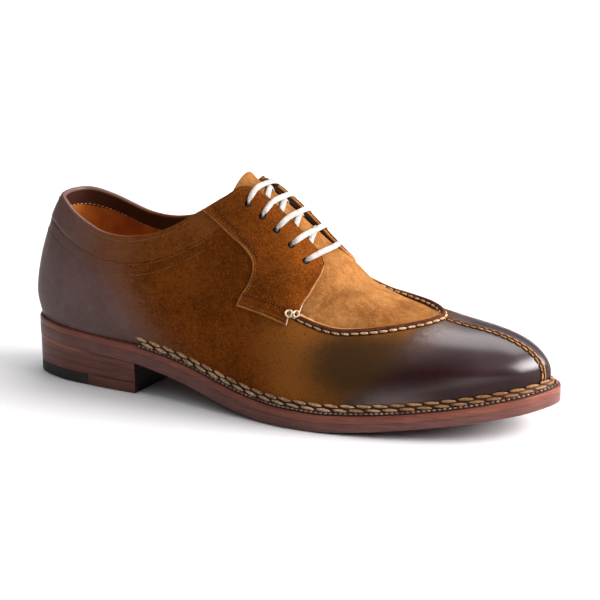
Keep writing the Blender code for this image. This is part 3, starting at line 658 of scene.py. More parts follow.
def normal_of(turn, climb):
    small = 1e-3
    along = bare_last(turn + small, climb) - bare_last(turn - small, climb)
    up = bare_last(turn, climb + small) - bare_last(turn, climb - small)
    normal = np.cross(along, up)
    size = np.linalg.norm(normal, axis=-1, keepdims=True)
    at_pole = size < 1e-12
    return np.where(at_pole, [0.0, 0.0, 1.0], normal / np.where(at_pole, 1.0, size))


def last(turn, climb, offset=0.0):
    """A point of the last moved outwards along its normal."""
    turn, climb = np.broadcast_arrays(np.asarray(turn, float), np.asarray(climb, float))
    return bare_last(turn, climb) + normal_of(turn, climb) * np.broadcast_to(offset, turn.shape)[..., None]


def turn_at(station):
    """The turn of a given feather station."""
    share = np.clip((np.asarray(station, float) - FEATHER_BACK) / (FEATHER_FRONT - FEATHER_BACK), 0, 1)
    return np.arccos(1 - 2 * share) / np.pi


def station_at(turn):
    return spread(FEATHER_BACK, FEATHER_FRONT, np.asarray(turn, float))


def climb_where(turns, side, measure):
    """Climb on one side, at each turn, where a measure that is negative at the foot first reaches zero."""
    turns = np.atleast_1d(np.asarray(turns, float))
    climbs = side * np.linspace(FOOT_CLIMB, 0, CLIMB_STEPS)
    value = measure(bare_last(turns[:, None], climbs[None, :]))
    reached = value >= 0
    after = np.maximum(np.argmax(reached, axis=1), 1)
    row = np.arange(len(turns))
    low = value[row, after - 1]
    high = value[row, after]
    share = np.clip(-low / np.where(high == low, 1.0, high - low), 0, 1)
    found = climbs[after - 1] + share * (climbs[after] - climbs[after - 1])
    return np.where(reached.any(axis=1), found, 0.0)


def height_climb(turns, side, height):
    """Climb on one side where the last reaches the height given for each turn."""
    return climb_where(turns, side, lambda point: point[..., 2] - np.asarray(height)[:, None])


def find_on_last(axes, targets, turn, climb):
    """Places of the points whose two given coordinates have the target values."""
    targets = np.asarray(targets, float)
    axes = list(axes)
    turn = np.broadcast_to(turn, targets.shape[:-1]).astype(float)
    climb = np.broadcast_to(climb, targets.shape[:-1]).astype(float)
    small = 1e-4
    for _ in range(FIND_ROUNDS):
        here = bare_last(turn, climb)[..., axes]
        by_turn = (bare_last(turn + small, climb)[..., axes] - here) / small
        by_climb = (bare_last(turn, climb + small)[..., axes] - here) / small
        miss = targets - here
        area = by_turn[..., 0] * by_climb[..., 1] - by_turn[..., 1] * by_climb[..., 0]
        step_turn = (miss[..., 0] * by_climb[..., 1] - miss[..., 1] * by_climb[..., 0]) / area
        step_climb = (by_turn[..., 0] * miss[..., 1] - by_turn[..., 1] * miss[..., 0]) / area
        turn = turn + np.clip(step_turn, -FIND_TURN, FIND_TURN)
        climb = climb + np.clip(step_climb, -FIND_CLIMB, FIND_CLIMB)
    return turn, climb


def heel_turns(front, steps):
    """Turns from the back of the heel to a station."""
    return np.linspace(0, float(turn_at(front)), steps)


# Lines on the last


def medial_rise(station, side):
    """The medial side's lines run a little higher, except at the back."""
    return MEDIAL_RISE * np.sin(np.pi / 2 * np.clip(station / HEEL_ANCHOR, 0, 1)) * (side > 0)


def topline(station, side):
    return height_at(TOPLINE, station) + medial_rise(station, side)


def collar_climb(turns, side):
    return height_climb(turns, side, topline(station_at(turns), side))


def throat_half(station):
    """Half the gap between the facings."""
    return THROAT_HALF + THROAT_SPREAD * (np.asarray(station, float) - THROAT_TOP)


def side_climb(turns, side, across):
    """Climb where the last is a given distance from the throat's centre line."""
    across = np.broadcast_to(across, np.shape(turns))
    return climb_where(turns, side, lambda point: across[:, None] - side * (point[..., 1] - THROAT_CENTRE))


def apron_line(station, side):
    """Y of the apron's seam at a station."""
    share = np.clip((station - APRON_BACK) / (APRON_TIP - APRON_BACK), 0, 1)
    return side * APRON_HALF[side] * (1 - share ** 2) ** APRON_POWER + TOE_SEAM_SIDE * share ** 2


def apron_climb(turns, side):
    def inside(point):
        room = side * (apron_line(point[..., 0], side) - point[..., 1])
        return np.where(point[..., 0] > APRON_TIP, -1.0, room)
    return climb_where(turns, side, inside)


def body_edge(turns, side):
    """Climb of the body's top edge: collar, then under the facing, then the apron's seam, then the crest."""
    station = station_at(turns)
    rise = MEDIAL_RISE if side == MEDIAL else 0.0
    height = np.minimum(topline(station, side), height_at(BODY_COVER, station) + rise)
    share = smooth(station, *BODY_TO_APRON)
    return height_climb(turns, side, height) * (1 - share) + apron_climb(turns, side) * share


def apron_places(side, steps):
    """Places along the apron's seam from its back end to its tip."""
    angle = np.linspace(0, np.pi / 2, steps)
    station = APRON_BACK + (APRON_TIP - APRON_BACK) * np.sin(angle)
    target = np.stack([station, apron_line(station, side)], axis=1)
    turn, climb = find_on_last((0, 1), target, turn_at(station), side * APRON_CLIMB)
    return np.stack([turn, climb], axis=1)


def toe_seam_places(steps):
    """Places down the middle of the toe, from the apron's tip over the wall to the welt."""
    start = APRON_TIP + 1.0
    wall = FEATHER_FRONT - TOE_WALL
    station = start + (wall - start) * np.sin(np.linspace(0, np.pi / 2, steps))
    y = TOE_SEAM_SIDE + (TOE_SEAM_END - TOE_SEAM_SIDE) * (station - start) / (wall - start)
    places = []
    place = np.array([float(turn_at(start)), TOE_CLIMB])
    for target in zip(station, y):
        place = np.array(find_on_last((0, 1), np.array(target), *place))
        places.append(place)
    top = bare_last(*place)[2]
    for height in np.linspace(top, sole_top(FEATHER_FRONT) + TOE_SEAM_FOOT, steps // 3)[1:]:
        place = np.array(find_on_last((1, 2), np.array([TOE_SEAM_END, height]), *place))
        places.append(place)
    return np.array(places)


# Meshes


def turn_outward(mesh):
    """Makes every face of a closed mesh look outwards."""
    work = bmesh.new()
    work.from_mesh(mesh)
    bmesh.ops.recalc_face_normals(work, faces=work.faces)
    work.to_mesh(mesh)
    work.free()


def add_piece(name, points, faces, materials, indices=None, sharp=38.0):
    """A piece of the shoe, riding on its one body."""
    mesh = bpy.data.meshes.new(name)
    placed = (np.asarray(points, float) - ORIGIN) * MM
    mesh.from_pydata(placed.tolist(), [], [tuple(face) for face in faces])
    turn_outward(mesh)
    mesh.shade_smooth()
    if sharp:
        mesh.set_sharp_from_angle(angle=math.radians(sharp))
    for material in materials:
        mesh.materials.append(material)
    if indices is not None:
        mesh.polygons.foreach_set("material_index", np.asarray(indices, dtype=np.int32))
    piece = bpy.data.objects.new(name, mesh)
    bpy.context.scene.collection.objects.link(piece)
    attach(piece, "root")
    return piece


def label(piece, node=None):
    """Hides the imported solid that a piece replaces, when its name is given."""
    if node:
        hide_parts(node)


def add_layer(piece, name, values):
    """A number for each point of a piece, for its material."""
    layer = piece.data.attributes.new(name, "FLOAT", "POINT")
    layer.data.foreach_set("value", np.asarray(values, dtype=np.float32))


def points_of(piece):
    """Points of a piece in millimetres, in the shoe's own stations."""
    flat = np.empty(len(piece.data.vertices) * 3, dtype=np.float32)
    piece.data.vertices.foreach_get("co", flat)
    return flat.reshape(-1, 3) / MM + ORIGIN


def quads(rows, columns, start=0, wrap=False):
    """Faces of a grid, with the row index first."""
    row = np.arange(rows - 1)[:, None]
    count = columns if wrap else columns - 1
    k = np.arange(count)[None, :]
    following = (k + 1) % columns
    return np.stack(
        np.broadcast_arrays(
            start + row * columns + k,
            start + row * columns + following,
            start + (row + 1) * columns + following,
            start + (row + 1) * columns + k,
        ),
        axis=-1,
    ).reshape(-1, 4)


def shell(name, outer, inner, materials, wrap=False):
    """A closed sheet between two grids of equal size. Materials are outer, inner and border."""
    rows, columns = outer.shape[:2]
    size = rows * columns
    top = quads(rows, columns, 0, wrap)
    low = quads(rows, columns, size, wrap)[:, ::-1]
    k = np.arange(columns)
    high = (rows - 1) * columns
    if wrap:
        rings = [k, high + k]
    else:
        right = np.arange(1, rows) * columns + columns - 1
        left = np.arange(rows - 2, 0, -1) * columns
        rings = [np.concatenate([k, right, high + k[-2::-1], left])]
    borders = []
    for ring in rings:
        following = np.roll(ring, -1)
        borders.append(np.stack([ring, ring + size, following + size, following], axis=1))
    border = np.concatenate(borders)
    indices = np.repeat([0, 1, 2], [len(top), len(low), len(border)])
    points = np.concatenate([outer.reshape(-1, 3), inner.reshape(-1, 3)])
    return add_piece(name, points, np.concatenate([top, low, border]), materials, indices)


def swept(rings, closed=False):
    """Points and faces of rings joined one to the next, with flat caps unless closed."""
    rings = np.asarray(rings, float)
    count, size = rings.shape[:2]
    faces = [tuple(face) for face in quads(count, size, 0, True)]
    end = (count - 1) * size
    if closed:
        for k in range(size):
            following = (k + 1) % size
            faces.append((end + k, end + following, following, k))
    else:
        faces.append(tuple(reversed(range(size))))
        faces.append(tuple(range(end, end + size)))
    return rings.reshape(-1, 3), faces


def joined(bodies):
    """Points and faces of several bodies as one mesh."""
    points, faces = [], []
    start = 0
    for body, body_faces in bodies:
        points.append(body)
        faces.extend(tuple(start + n for n in face) for face in body_faces)
        start += len(body)
    return np.concatenate(points), faces


def unit(vectors):
    vectors = np.asarray(vectors, float)
    return vectors / np.linalg.norm(vectors, axis=-1, keepdims=True)


def frames_along(points, normals):
    """Along, sideways and up directions for each point of a path."""
    along = unit(np.gradient(points, axis=0))
    sideways = unit(np.cross(along, normals))
    return along, sideways, np.cross(sideways, along)


def resample(points, normals, pitch):
    """Evenly spaced points of a path, with their normals and directions."""
    length = np.concatenate([[0.0], np.cumsum(np.linalg.norm(np.diff(points, axis=0), axis=1))])
    count = max(2, int(round(length[-1] / pitch)) + 1)
    at = np.linspace(0, length[-1], count)
    middle = np.stack([np.interp(at, length, points[:, k]) for k in range(3)], axis=1)
    raised = unit(np.stack([np.interp(at, length, normals[:, k]) for k in range(3)], axis=1))
    return middle, raised


def strips(name, runs, profile, material, scale=1.0):
    """Strips along paths; the profile is given as sideways and up, and scale lets it swell and shrink."""
    bodies = []
    for path, normals in runs:
        _, sideways, up = frames_along(path, normals)
        size = np.broadcast_to(scale, len(path))[:, None]
        rings = [path + (sideways * x + up * z) * size for x, z in profile]
        bodies.append(swept(np.stack(rings, axis=1)))
    return add_piece(name, *joined(bodies), [material])


def oval(half_width, half_height, steps=12):
    angle = np.linspace(0, 2 * np.pi, steps, endpoint=False)
    return [(half_width * math.cos(a), half_height * math.sin(a)) for a in angle]


def grain_shape(sides, steps, taper):
    """A stitch of unit length, width and height along X; a high taper gives it pointed ends."""
    angle = np.linspace(0, 2 * np.pi, sides, endpoint=False)
    rings = []
    for share in np.linspace(0, np.pi, steps + 1)[1:-1]:
        radius = 0.5 * math.sin(share) ** taper
        along = np.full(sides, -0.5 * math.cos(share))
        rings.append(np.stack([along, radius * np.cos(angle), radius * np.sin(angle)], axis=1))
    points = np.concatenate([[[-0.5, 0, 0]], *rings, [[0.5, 0, 0]]])
    faces = [tuple(face) for face in quads(len(rings), sides, 1, True)]
    end = len(points) - 1
    for k in range(sides):
        following = (k + 1) % sides
        faces.append((0, 1 + following, 1 + k))
        faces.append((end, end - sides + k, end - sides + following))
    return points, faces


def stitches(name, runs, stitch, material, fineness=PLAIN_MESH):
    """Stitches of one kind, one at each point of the given runs of points with normals."""
    shape, shape_faces = grain_shape(*fineness)
    cosine = math.cos(stitch.tilt)
    sine = math.sin(stitch.tilt)
    sized = shape * [stitch.length, stitch.width, stitch.height]
    turned = sized @ [[cosine, sine, 0], [-sine, cosine, 0], [0, 0, 1]]
    bodies = []
    for middle, normals in runs:
        for point, axes in zip(middle, np.stack(frames_along(middle, normals), axis=1)):
            bodies.append((point + turned @ axes, shape_faces))
    return add_piece(name, *joined(bodies), [material], sharp=0)


def between(middle, normals):
    """Middles of the gaps between evenly spaced points."""
    return (middle[1:] + middle[:-1]) / 2, unit(normals[1:] + normals[:-1])


# Materials


class Tree:
    """Short names for building the nodes of one material or world."""

    def __init__(self, owner):
        owner.use_nodes = True
        self.owner = owner
        self.nodes = owner.node_tree.nodes
        self.links = owner.node_tree.links
        self.coordinates = self.nodes.new("ShaderNodeTexCoord").outputs

    def plug(self, value, socket):
        """Joins a socket to another one, or sets its value; a colour gets its alpha."""
        if isinstance(value, bpy.types.NodeSocket):
            self.links.new(value, socket)
        elif socket.type == "RGBA":
            socket.default_value = (*value, 1.0)
        else:
            socket.default_value = value

    def node(self, kind, inputs, output=0, **settings):
        """A new node with its settings and inputs; returns one of its outputs."""
        made = self.nodes.new("ShaderNode" + kind)
        for name, value in settings.items():
            setattr(made, name, value)
        for name, value in inputs.items():
            self.plug(value, made.inputs[name])
        return made.outputs[output]

    def scaled(self, size, stretch=(1, 1, 1)):
        """Coordinates counted in lumps of about size millimetres, which may be stretched."""
        scale = [1 / (size * MM) / part for part in stretch]
        return self.node("Mapping", {"Vector": self.coordinates["Object"], "Scale": scale}, "Vector")

    def noise(self, size, detail, roughness, stretch=(1, 1, 1)):
        """Cloudy pattern from 0 to 1."""
        place = self.scaled(size, stretch)
        inputs = {"Vector": place, "Scale": 1.0, "Detail": detail, "Roughness": roughness}
        return self.node("TexNoise", inputs, "Fac")

    def cells(self, size):
        """Pores, dark at the middle."""
        return self.node("TexVoronoi", {"Vector": self.scaled(size), "Scale": 1.0}, "Distance")

    def layer(self, name):
        """The number that a piece carries at each point under this name."""
        return self.node("Attribute", {}, "Fac", attribute_name=name)

    def math(self, operation, first, second):
        return self.node("Math", {0: first, 1: second}, operation=operation)

    def blend(self, first, second, share):
        """Two patterns added, with a share of the first one."""
        return self.math("ADD", self.math("MULTIPLY", first, share), self.math("MULTIPLY", second, 1 - share))

    def span(self, value, low, high, to_low=0.0, to_high=1.0, soft=True):
        """Maps a value from one range to another and holds it there."""
        inputs = {"Value": value, "From Min": low, "From Max": high, "To Min": to_low, "To Max": to_high}
        return self.node("MapRange", inputs, "Result", interpolation_type="SMOOTHSTEP" if soft else "LINEAR")

    def mix(self, share, first, second):
        """Two colours mixed."""
        return self.node("Mix", {"Factor": share, 6: first, 7: second}, 2, data_type="RGBA")

    def bump(self, height, depth, strength):
        """Normals of a relief of the given depth in millimetres."""
        inputs = {"Strength": strength, "Distance": depth * MM, "Height": height}
        return self.node("Bump", inputs, "Normal")

    def finish(self, colour, roughness, **values):
        """Fills the shader and returns the material."""
        sockets = self.nodes["Principled BSDF"].inputs
        self.plug(colour, sockets["Base Color"])
        self.plug(roughness, sockets["Roughness"])
        for name, value in values.items():
            self.plug(value, sockets[name.replace("_", " ")])
        return self.owner


def new_tree(name):
    return Tree(bpy.data.materials.new(name))


def tone(red, green, blue):
    """A colour as seen on screen, 0 to 255, turned into light values."""
    share = np.array([red, green, blue]) / 255.0
    return tuple(np.where(share <= 0.04045, share / 12.92, ((share + 0.055) / 1.055) ** 2.4))


def suede(name, dark, light, burnished=False, speckle=0.7):
    """Brushed suede; where the burnish layer is high it turns into dark polished leather."""
    tree = new_tree(name)
    nap = tree.noise(3.2, 5.0, 0.7)
    fleck = tree.noise(0.9, 2.0, 0.6)
    blotch = tree.blend(tree.noise(26.0, 4.0, 0.6), nap, 0.6)
    base = tree.mix(tree.span(blotch, 0.34, 0.66), dark, light)
    base = tree.mix(tree.layer("glow"), base, tone(152, 96, 40))
    base = tree.mix(tree.span(fleck, 0.54, 0.76, 0.0, speckle), base, tuple(min(1.0, c * 2.0) for c in light))
    base = tree.mix(tree.span(fleck, 0.46, 0.28, 0.0, speckle), base, tuple(c * 0.45 for c in dark))
    # Painted shade: where the crease layer is high the suede darkens, in the apron's creases and on the
    # tongue's back part
    base = tree.mix(tree.layer("crease"), base, tuple(c * 0.5 for c in dark))
    relief = tree.blend(nap, fleck, 0.5)
    if burnished:
        return burnish(tree, base, blotch, fleck, relief)
    return tree.finish(base, 0.95, Normal=tree.bump(relief, 0.5, 0.8), Specular_IOR_Level=0.03)


def burnish(tree, base, blotch, fleck, relief):
    """Suede with smoky patches, waxed at toe and heel as its layers say."""
    patchy = tree.span(blotch, 0.25, 0.75, -0.16, 0.16, False)
    grain = tree.math("ADD", patchy, tree.span(fleck, 0.3, 0.7, -0.08, 0.08, False))
    wear = tree.math("ADD", tree.layer("burnish"), grain)
    patch_share = tree.math("ADD", tree.layer("smoke"), tree.math("MULTIPLY", grain, 0.9))
    smoked = tree.span(patch_share, 0.0, 0.9, 0.0, 0.97)
    smoke = tree.mix(tree.layer("toe"), tone(102, 65, 45), tone(52, 36, 19))
    smoky = tree.mix(tree.math("MAXIMUM", tree.span(wear, 0.05, 0.55), smoked), base, smoke)
    wax_heel = tree.mix(tree.span(blotch, 0.3, 0.7), tone(80, 60, 57), tone(98, 76, 73))
    wax_toe = tree.mix(tree.span(blotch, 0.3, 0.7), tone(28, 10, 11), tone(41, 18, 20))
    # Painted reflection and painted highlight: the toe's wax is lighter where this layer is high
    wax_toe = tree.mix(tree.layer("painted_reflection"), wax_toe, tone(112, 84, 76))
    wax = tree.mix(tree.layer("toe"), wax_heel, wax_toe)
    colour = tree.mix(tree.span(wear, 0.3, 0.95), smoky, wax)
    rubbed_relief = tree.math("MULTIPLY", relief, tree.span(wear, 0.3, 0.85, 1.0, 0.08))
    normal = tree.bump(rubbed_relief, 0.5, 0.8)
    polish = tree.math("MULTIPLY", tree.span(wear, 0.25, 0.9), tree.layer("gloss"))
    return tree.finish(
        colour, 0.9, Normal=normal, Specular_IOR_Level=0.03, Coat_Weight=polish, Coat_Roughness=0.28
    )


def leather(name, dark, light, roughness, grain=0.9, depth=0.06):
    """Smooth leather with fine pores."""
    tree = new_tree(name)
    cloud = tree.noise(14.0, 4.0, 0.6)
    colour = tree.mix(tree.span(cloud, 0.3, 0.7), dark, light)
    gloss = tree.span(cloud, 0.3, 0.7, roughness - 0.05, roughness + 0.08)
    pores = tree.bump(tree.cells(grain), depth, 0.5)
    return tree.finish(colour, gloss, Normal=pores, Specular_IOR_Level=0.25)


def collar_lining(name, dark, light, band):
    """Smooth lining with a darker strip of leather below the collar's edge."""
    tree = new_tree(name)
    colour = tree.mix(tree.span(tree.noise(14.0, 4.0, 0.6), 0.3, 0.7), dark, light)
    colour = tree.mix(tree.span(tree.layer("drop"), LINING_BAND, LINING_BAND + 0.4), band, colour)
    pores = tree.bump(tree.cells(0.9), 0.06, 0.5)
    return tree.finish(colour, 0.5, Normal=pores, Specular_IOR_Level=0.3)


def sole_edge(name, dark, light):
    """Cut and waxed edge of stacked leather: fine lines run along it, and a painted highlight may lighten it.
    """
    tree = new_tree(name)
    layers = tree.noise(1.2, 3.0, 0.6, (16, 16, 1))
    cloud = tree.noise(11.0, 4.0, 0.65)
    colour = tree.mix(tree.span(tree.blend(layers, cloud, 0.6), 0.2, 0.8), dark, light)
    # Painted highlight: lighter where this layer is high
    colour = tree.mix(tree.layer("painted_highlight"), colour, tone(160, 92, 64))
    gloss = tree.span(cloud, 0.3, 0.7, 0.34, 0.48)
    return tree.finish(colour, gloss, Normal=tree.bump(layers, 0.12, 0.45), Specular_IOR_Level=0.22)


def thread(name, dark, light, pitch=0.9, roughness=0.6, aged=None):
    """Waxed thread of twisted strands, with a darker colour where its aged layer is high."""
    tree = new_tree(name)
    strand = tree.noise(pitch, 2.0, 0.6)
    shade = tree.noise(7.0, 2.0, 0.5)
    colour = tree.mix(tree.span(tree.blend(strand, shade, 0.6), 0.35, 0.62), dark, light)
    if aged is not None:
        colour = tree.mix(tree.layer("aged"), colour, aged)
    return tree.finish(colour, roughness, Normal=tree.bump(strand, 0.25, 0.6), Specular_IOR_Level=0.12)


def build_materials():
    lining = (tone(150, 80, 26), tone(176, 100, 38))
    return {
        "body": suede("body suede", tone(77, 36, 5), tone(106, 54, 12), True),
        "facing": suede("facing suede", tone(77, 36, 6), tone(110, 57, 15)),
        # The apron and tongue are the body's suede painted lighter: painted light falling on the top of the
        # shoe
        "apron": suede("apron suede", tone(107, 65, 28), tone(145, 100, 55), speckle=0.3),
        # Rim suede is lighter than the facing's: partly the suede's turned edge, partly a painted highlight
        # on the facing's top edge
        "rim": suede("rim suede", tone(132, 82, 38), tone(168, 112, 58)),
        # Ridge suede is darker: partly its own colour, partly painted shade on the raised seams
        "ridge": suede("ridge suede", tone(54, 28, 17), tone(80, 47, 31)),
        # Dark suede for the strips of painted shade along rows, seams and the throat
        "shade_line": suede("groove suede", tone(40, 18, 4), tone(58, 28, 8)),
        # Cut edge: partly its own colour, partly a painted highlight along the facing's raised edges
        "cut": leather("cut edge", tone(110, 62, 20), tone(146, 90, 36), 0.9),
        "pale cut": leather("pale cut edge", tone(140, 112, 94), tone(184, 158, 142), 0.9),
        # The lip is lighter: partly its own pale edge, partly a painted highlight on the ridge's top near the
        # knots
        "lip": leather("apron lip", tone(150, 100, 52), tone(190, 138, 82), 0.9),
        # Dark edge: partly the lining's own dark edge, partly painted shade under the facings' free edges and
        # inside the eyelet holes
        "dark edge": leather("dark edge", tone(28, 14, 9), tone(46, 26, 17), 0.6),
        "lining": leather("lining leather", *lining, 0.5),
        "collar lining": collar_lining("collar lining", *lining, tone(58, 31, 21)),
        "insole": leather("insole leather", tone(176, 126, 76), tone(196, 148, 98), 0.5),
        "outsole": sole_edge("outsole edge", tone(76, 46, 40), tone(112, 71, 63)),
        "midsole": sole_edge("midsole edge", tone(88, 47, 36), tone(128, 74, 58)),
        "heel": sole_edge("heel leather", tone(76, 41, 33), tone(108, 64, 53)),
        # The heel breast is painted near black: painted shade, as it faces away from the lights
        "breast": leather("heel breast", tone(24, 12, 10), tone(36, 19, 15), 0.7),
        "rubber": leather("heel rubber", tone(30, 26, 25), tone(44, 39, 37), 0.6, 0.5, 0.04),
        "welt": leather("welt leather", tone(34, 15, 8), tone(54, 27, 15), 0.65),
        "braid": thread("braid thread", tone(120, 90, 62), tone(184, 152, 114), 1.2, 0.45, tone(112, 70, 34)),
        "seam": thread("seam thread", tone(112, 84, 58), tone(190, 160, 122)),
        "knot": thread("knot thread", tone(170, 142, 106), tone(226, 206, 172)),
        "toe thread": thread("toe thread", tone(112, 76, 42), tone(184, 138, 84)),
        "dark thread": thread("dark thread", tone(16, 11, 12), tone(34, 24, 24), 0.6),
        "fine": thread("fine thread", tone(66, 48, 40), tone(144, 120, 106), 0.6),
        "stitch": thread("suede stitch thread", tone(84, 44, 12), tone(132, 80, 32), 0.6),
        "collar stitch": thread("collar stitch thread", tone(84, 54, 34), tone(126, 86, 54), 0.6),
        "lace": thread("lace cotton", tone(132, 127, 121), tone(174, 169, 162), 0.7, 0.8),
    }


# Upper


def loop_columns(steps):
    """Turn and side of each column once round the shoe, from the back over lateral and toe to medial."""
    turns = np.linspace(0, 1, steps + 1)
    return [(-1, turns), (1, turns[-2:0:-1])]


def loop_grid(edges, rows, offset):
    """Points on the last from its foot up to an edge, once round the shoe."""
    parts = []
    share = np.linspace(0, 1, rows + 1)[:, None]
    for (side, turns), edge in zip(loop_columns(BODY_COLUMNS), edges):
        foot = side * FOOT_CLIMB
        climb = foot + (edge - foot) * share
        parts.append(last(turns, climb, offset))
    return np.concatenate(parts, axis=1)


def round_heel(sides, axis=0):
    """A lateral and a medial run, each from the heel forwards, as one run round the heel."""
    lateral, medial = sides
    return np.concatenate([np.flip(lateral, axis), np.delete(medial, 0, axis)], axis)


def paint_upper(piece):
    """Layers of the upper: wax at toe and heel, smoke behind the toe, a lighter vamp, a painted floor
    reflection along the toe's foot and a painted highlight near the apron's tip, and gloss.
    """
    x, _, z = points_of(piece).T
    above = z - sole_top(x)
    toe = smooth(x - TOE_POLISH_LEAN * (z - TOE_POLISH_HEIGHT), *TOE_POLISH)
    heel = 1 - smooth(x + HEEL_POLISH_LEAN * (z - HEEL_POLISH_HEIGHT), *HEEL_POLISH)
    foot = FOOT_POLISH * (1 - smooth(above, *FOOT_POLISH_FADE))
    add_layer(piece, "burnish", np.maximum(np.maximum(toe, heel), foot))
    smoke_reach = np.where(z > SMOKE_HEIGHT, SMOKE_UP, SMOKE_DOWN)
    add_layer(piece, "smoke", SMOKE * smooth(x, *SMOKE_FADE) * bell(z, SMOKE_HEIGHT, smoke_reach))
    add_layer(piece, "glow", GLOW * smooth(x, *GLOW_FADE) * (1 - smooth(x, *GLOW_END)))
    add_layer(piece, "toe", smooth(x, *TOE_COLOURS))
    # Painted light on the toe's wax: a lighter band along its foot stands for the floor's reflection, a
    # lighter spot near the apron's tip for a highlight
    foot_reflection = FOOT_REFLECTION * bell(above, FOOT_REFLECTION_HEIGHT, FOOT_REFLECTION_REACH)
    foot_reflection = foot_reflection * smooth(x, *FOOT_REFLECTION_FADE) * (1 - smooth(x, *FOOT_REFLECTION_END))
    top_highlight = bell(x, TOP_HIGHLIGHT_STATION, TOP_HIGHLIGHT_LENGTH) * bell(z, TOP_HIGHLIGHT_HEIGHT, TOP_HIGHLIGHT_REACH)
    add_layer(piece, "painted_reflection", np.maximum(foot_reflection, TOP_HIGHLIGHT * top_highlight))
    core = DULL_CORE * bell(above, DULL_CORE_HEIGHT, DULL_CORE_REACH) * (1 - smooth(x, *DULL_CORE_END))
    tip = DULL_TIP * smooth(x, *DULL_TIP_FADE) * (1 - smooth(above, *DULL_TIP_TOP))
    add_layer(piece, "gloss", np.where(x < HEEL_END, HEEL_GLOSS, 1 - np.maximum(core, tip)))


def build_body(materials):
    """Skin of vamp and quarters, and the lining inside it."""
    edges = [body_edge(turns, side) for side, turns in loop_columns(BODY_COLUMNS)]
    outer = loop_grid(edges, BODY_ROWS, 0.0)
    inner = loop_grid(edges, BODY_ROWS, -SKIN)
    piece = shell("upper", outer, inner, [materials["body"], materials["dark edge"], materials["body"]], True)
    paint_upper(piece)
    label(piece, "upper")
    outer = loop_grid(edges, LINING_ROWS, -SKIN - GAP)
    inner = loop_grid(edges, LINING_ROWS, -WALL)
    lining = shell("lining", outer, inner, [materials["collar lining"]] * 3, True)
    x, y, z = points_of(lining).T
    drop = topline(x, np.where(y > 0, MEDIAL, LATERAL)) - z
    add_layer(lining, "drop", np.where(x < LINING_FRONT, drop, NO_BAND))
    label(lining)


def build_lining_stitches(materials):
    """The row that holds the strip inside the collar."""
    runs = []
    for side in SIDES:
        turns = heel_turns(LINING_STITCH_FRONT, ROW_STEPS)
        climb = height_climb(turns, side, topline(station_at(turns), side) - LINING_BAND)
        path = last(turns, climb, -WALL - 2 * GAP)
        runs.append(resample(path, -normal_of(turns, climb), LINING_STITCH.pitch))
    label(stitches("lining_stitches", runs, LINING_STITCH, materials["seam"], SMALL_MESH))


def paint_collar(piece):
    """The collar is dark at the back and fades into brown suede towards the facing."""
    x = points_of(piece)[:, 0]
    add_layer(piece, "burnish", COLLAR_POLISH_LEAST + COLLAR_POLISH * (1 - smooth(x, *COLLAR_POLISH_FADE)))
    for name, value in (("glow", COLLAR_GLOW), ("toe", 0.0), ("gloss", COLLAR_GLOSS)):
        add_layer(piece, name, np.full(len(x), value))


def build_band(materials):
    """The band round the collar, over the body, with a rounded lower edge."""
    from_edge = np.clip(BAND_SHARES / BAND_ROUND, 0, 1)[:, None]
    lift = BAND_THICKNESS * np.sqrt(1 - (1 - from_edge) ** 2)
    outer, inner = [], []
    for side in SIDES:
        turns = heel_turns(BAND_FRONT, BAND_STEPS)
        station = station_at(turns)
        low = height_climb(turns, side, height_at(BAND_SEAM, station) + medial_rise(station, side))
        climb = low + (collar_climb(turns, side) - low) * BAND_SHARES[:, None]
        outer.append(last(turns, climb, np.broadcast_to(lift, climb.shape)))
        inner.append(last(turns, climb, BAND_SEAT))
    piece = shell("collar_band", round_heel(outer, 1), round_heel(inner, 1), [materials["body"]] * 3)
    paint_collar(piece)
    label(piece)


def build_collar_roll(materials):
    """The turned edge of the collar, from facing to facing round the heel."""
    path, raised = [], []
    for side in SIDES:
        turns = heel_turns(COLLAR_FRONT, COLLAR_STEPS)
        climb = collar_climb(turns, side)
        middle = last(turns, climb, -COLLAR_ROLL_DEPTH)
        path.append(middle)
        raised.append(unit(last(turns, climb - side * COLLAR_ROLL_CLIMB, -COLLAR_ROLL_DEPTH) - middle))
    run = (round_heel(path), round_heel(raised))
    piece = strips("collar_edge", [run], oval(*COLLAR_ROLL), materials["body"])
    paint_collar(piece)
    label(piece)


def tongue_half(station, side):
    """Half width of the sheet under the facings, up to the back of the apron."""
    apron_half = abs(side * APRON_HALF[side] - THROAT_CENTRE)
    return np.interp(station, [*TONGUE_STATIONS, APRON_BACK], [*TONGUE_HALVES, apron_half])


def tongue_depth(station, y):
    """How far the apron's sheet lies below the last where it runs under the facings as the tongue."""
    sink = sum(depth * (1 - smooth(station, *end)) for depth, end in TONGUE_SINKS)
    flat = TONGUE_FLAT * bell(y, 0.0, TONGUE_FLAT_REACH) * (1 - smooth(station, *TONGUE_FLAT_END))
    lean = TONGUE_LEAN * smooth(y, *TONGUE_LEAN_FADE) * (1 - smooth(station, *TONGUE_LEAN_END))
    return sink + flat + lean


def creased(x, y):
    """Depth of the soft creases of the apron at points of its plan."""
    depth = np.zeros(np.shape(x))
    for crease in CREASES:
        ahead = x - crease.station
        aside = y - crease.side
        along = ahead * math.cos(crease.lean) + aside * math.sin(crease.lean)
        across = aside * math.cos(crease.lean) - ahead * math.sin(crease.lean)
        depth += crease.depth * bell(along, 0.0, crease.length) * bell(across, 0.0, crease.width)
    return depth


def apron_stations():
    """Stations of the sheet's columns: even along the tongue, then closing up towards the apron's tip."""
    angle = np.linspace(*APRON_ANGLES, APRON_COLUMNS)
    apron = APRON_BACK + (APRON_TIP - APRON_BACK) * np.sin(angle)
    return np.concatenate([np.linspace(TONGUE_TOP, APRON_BACK + APRON_OVERLAP, TONGUE_COLUMNS), apron])


def apron_edge(station, side):
    """Climb of the sheet's edge: the tongue's, then the apron's seam."""
    turns = turn_at(station)
    share = smooth(station, *APRON_JOIN)
    tongue = side_climb(turns, side, tongue_half(station, side))
    return tongue * (1 - share) + apron_climb(turns, side) * share


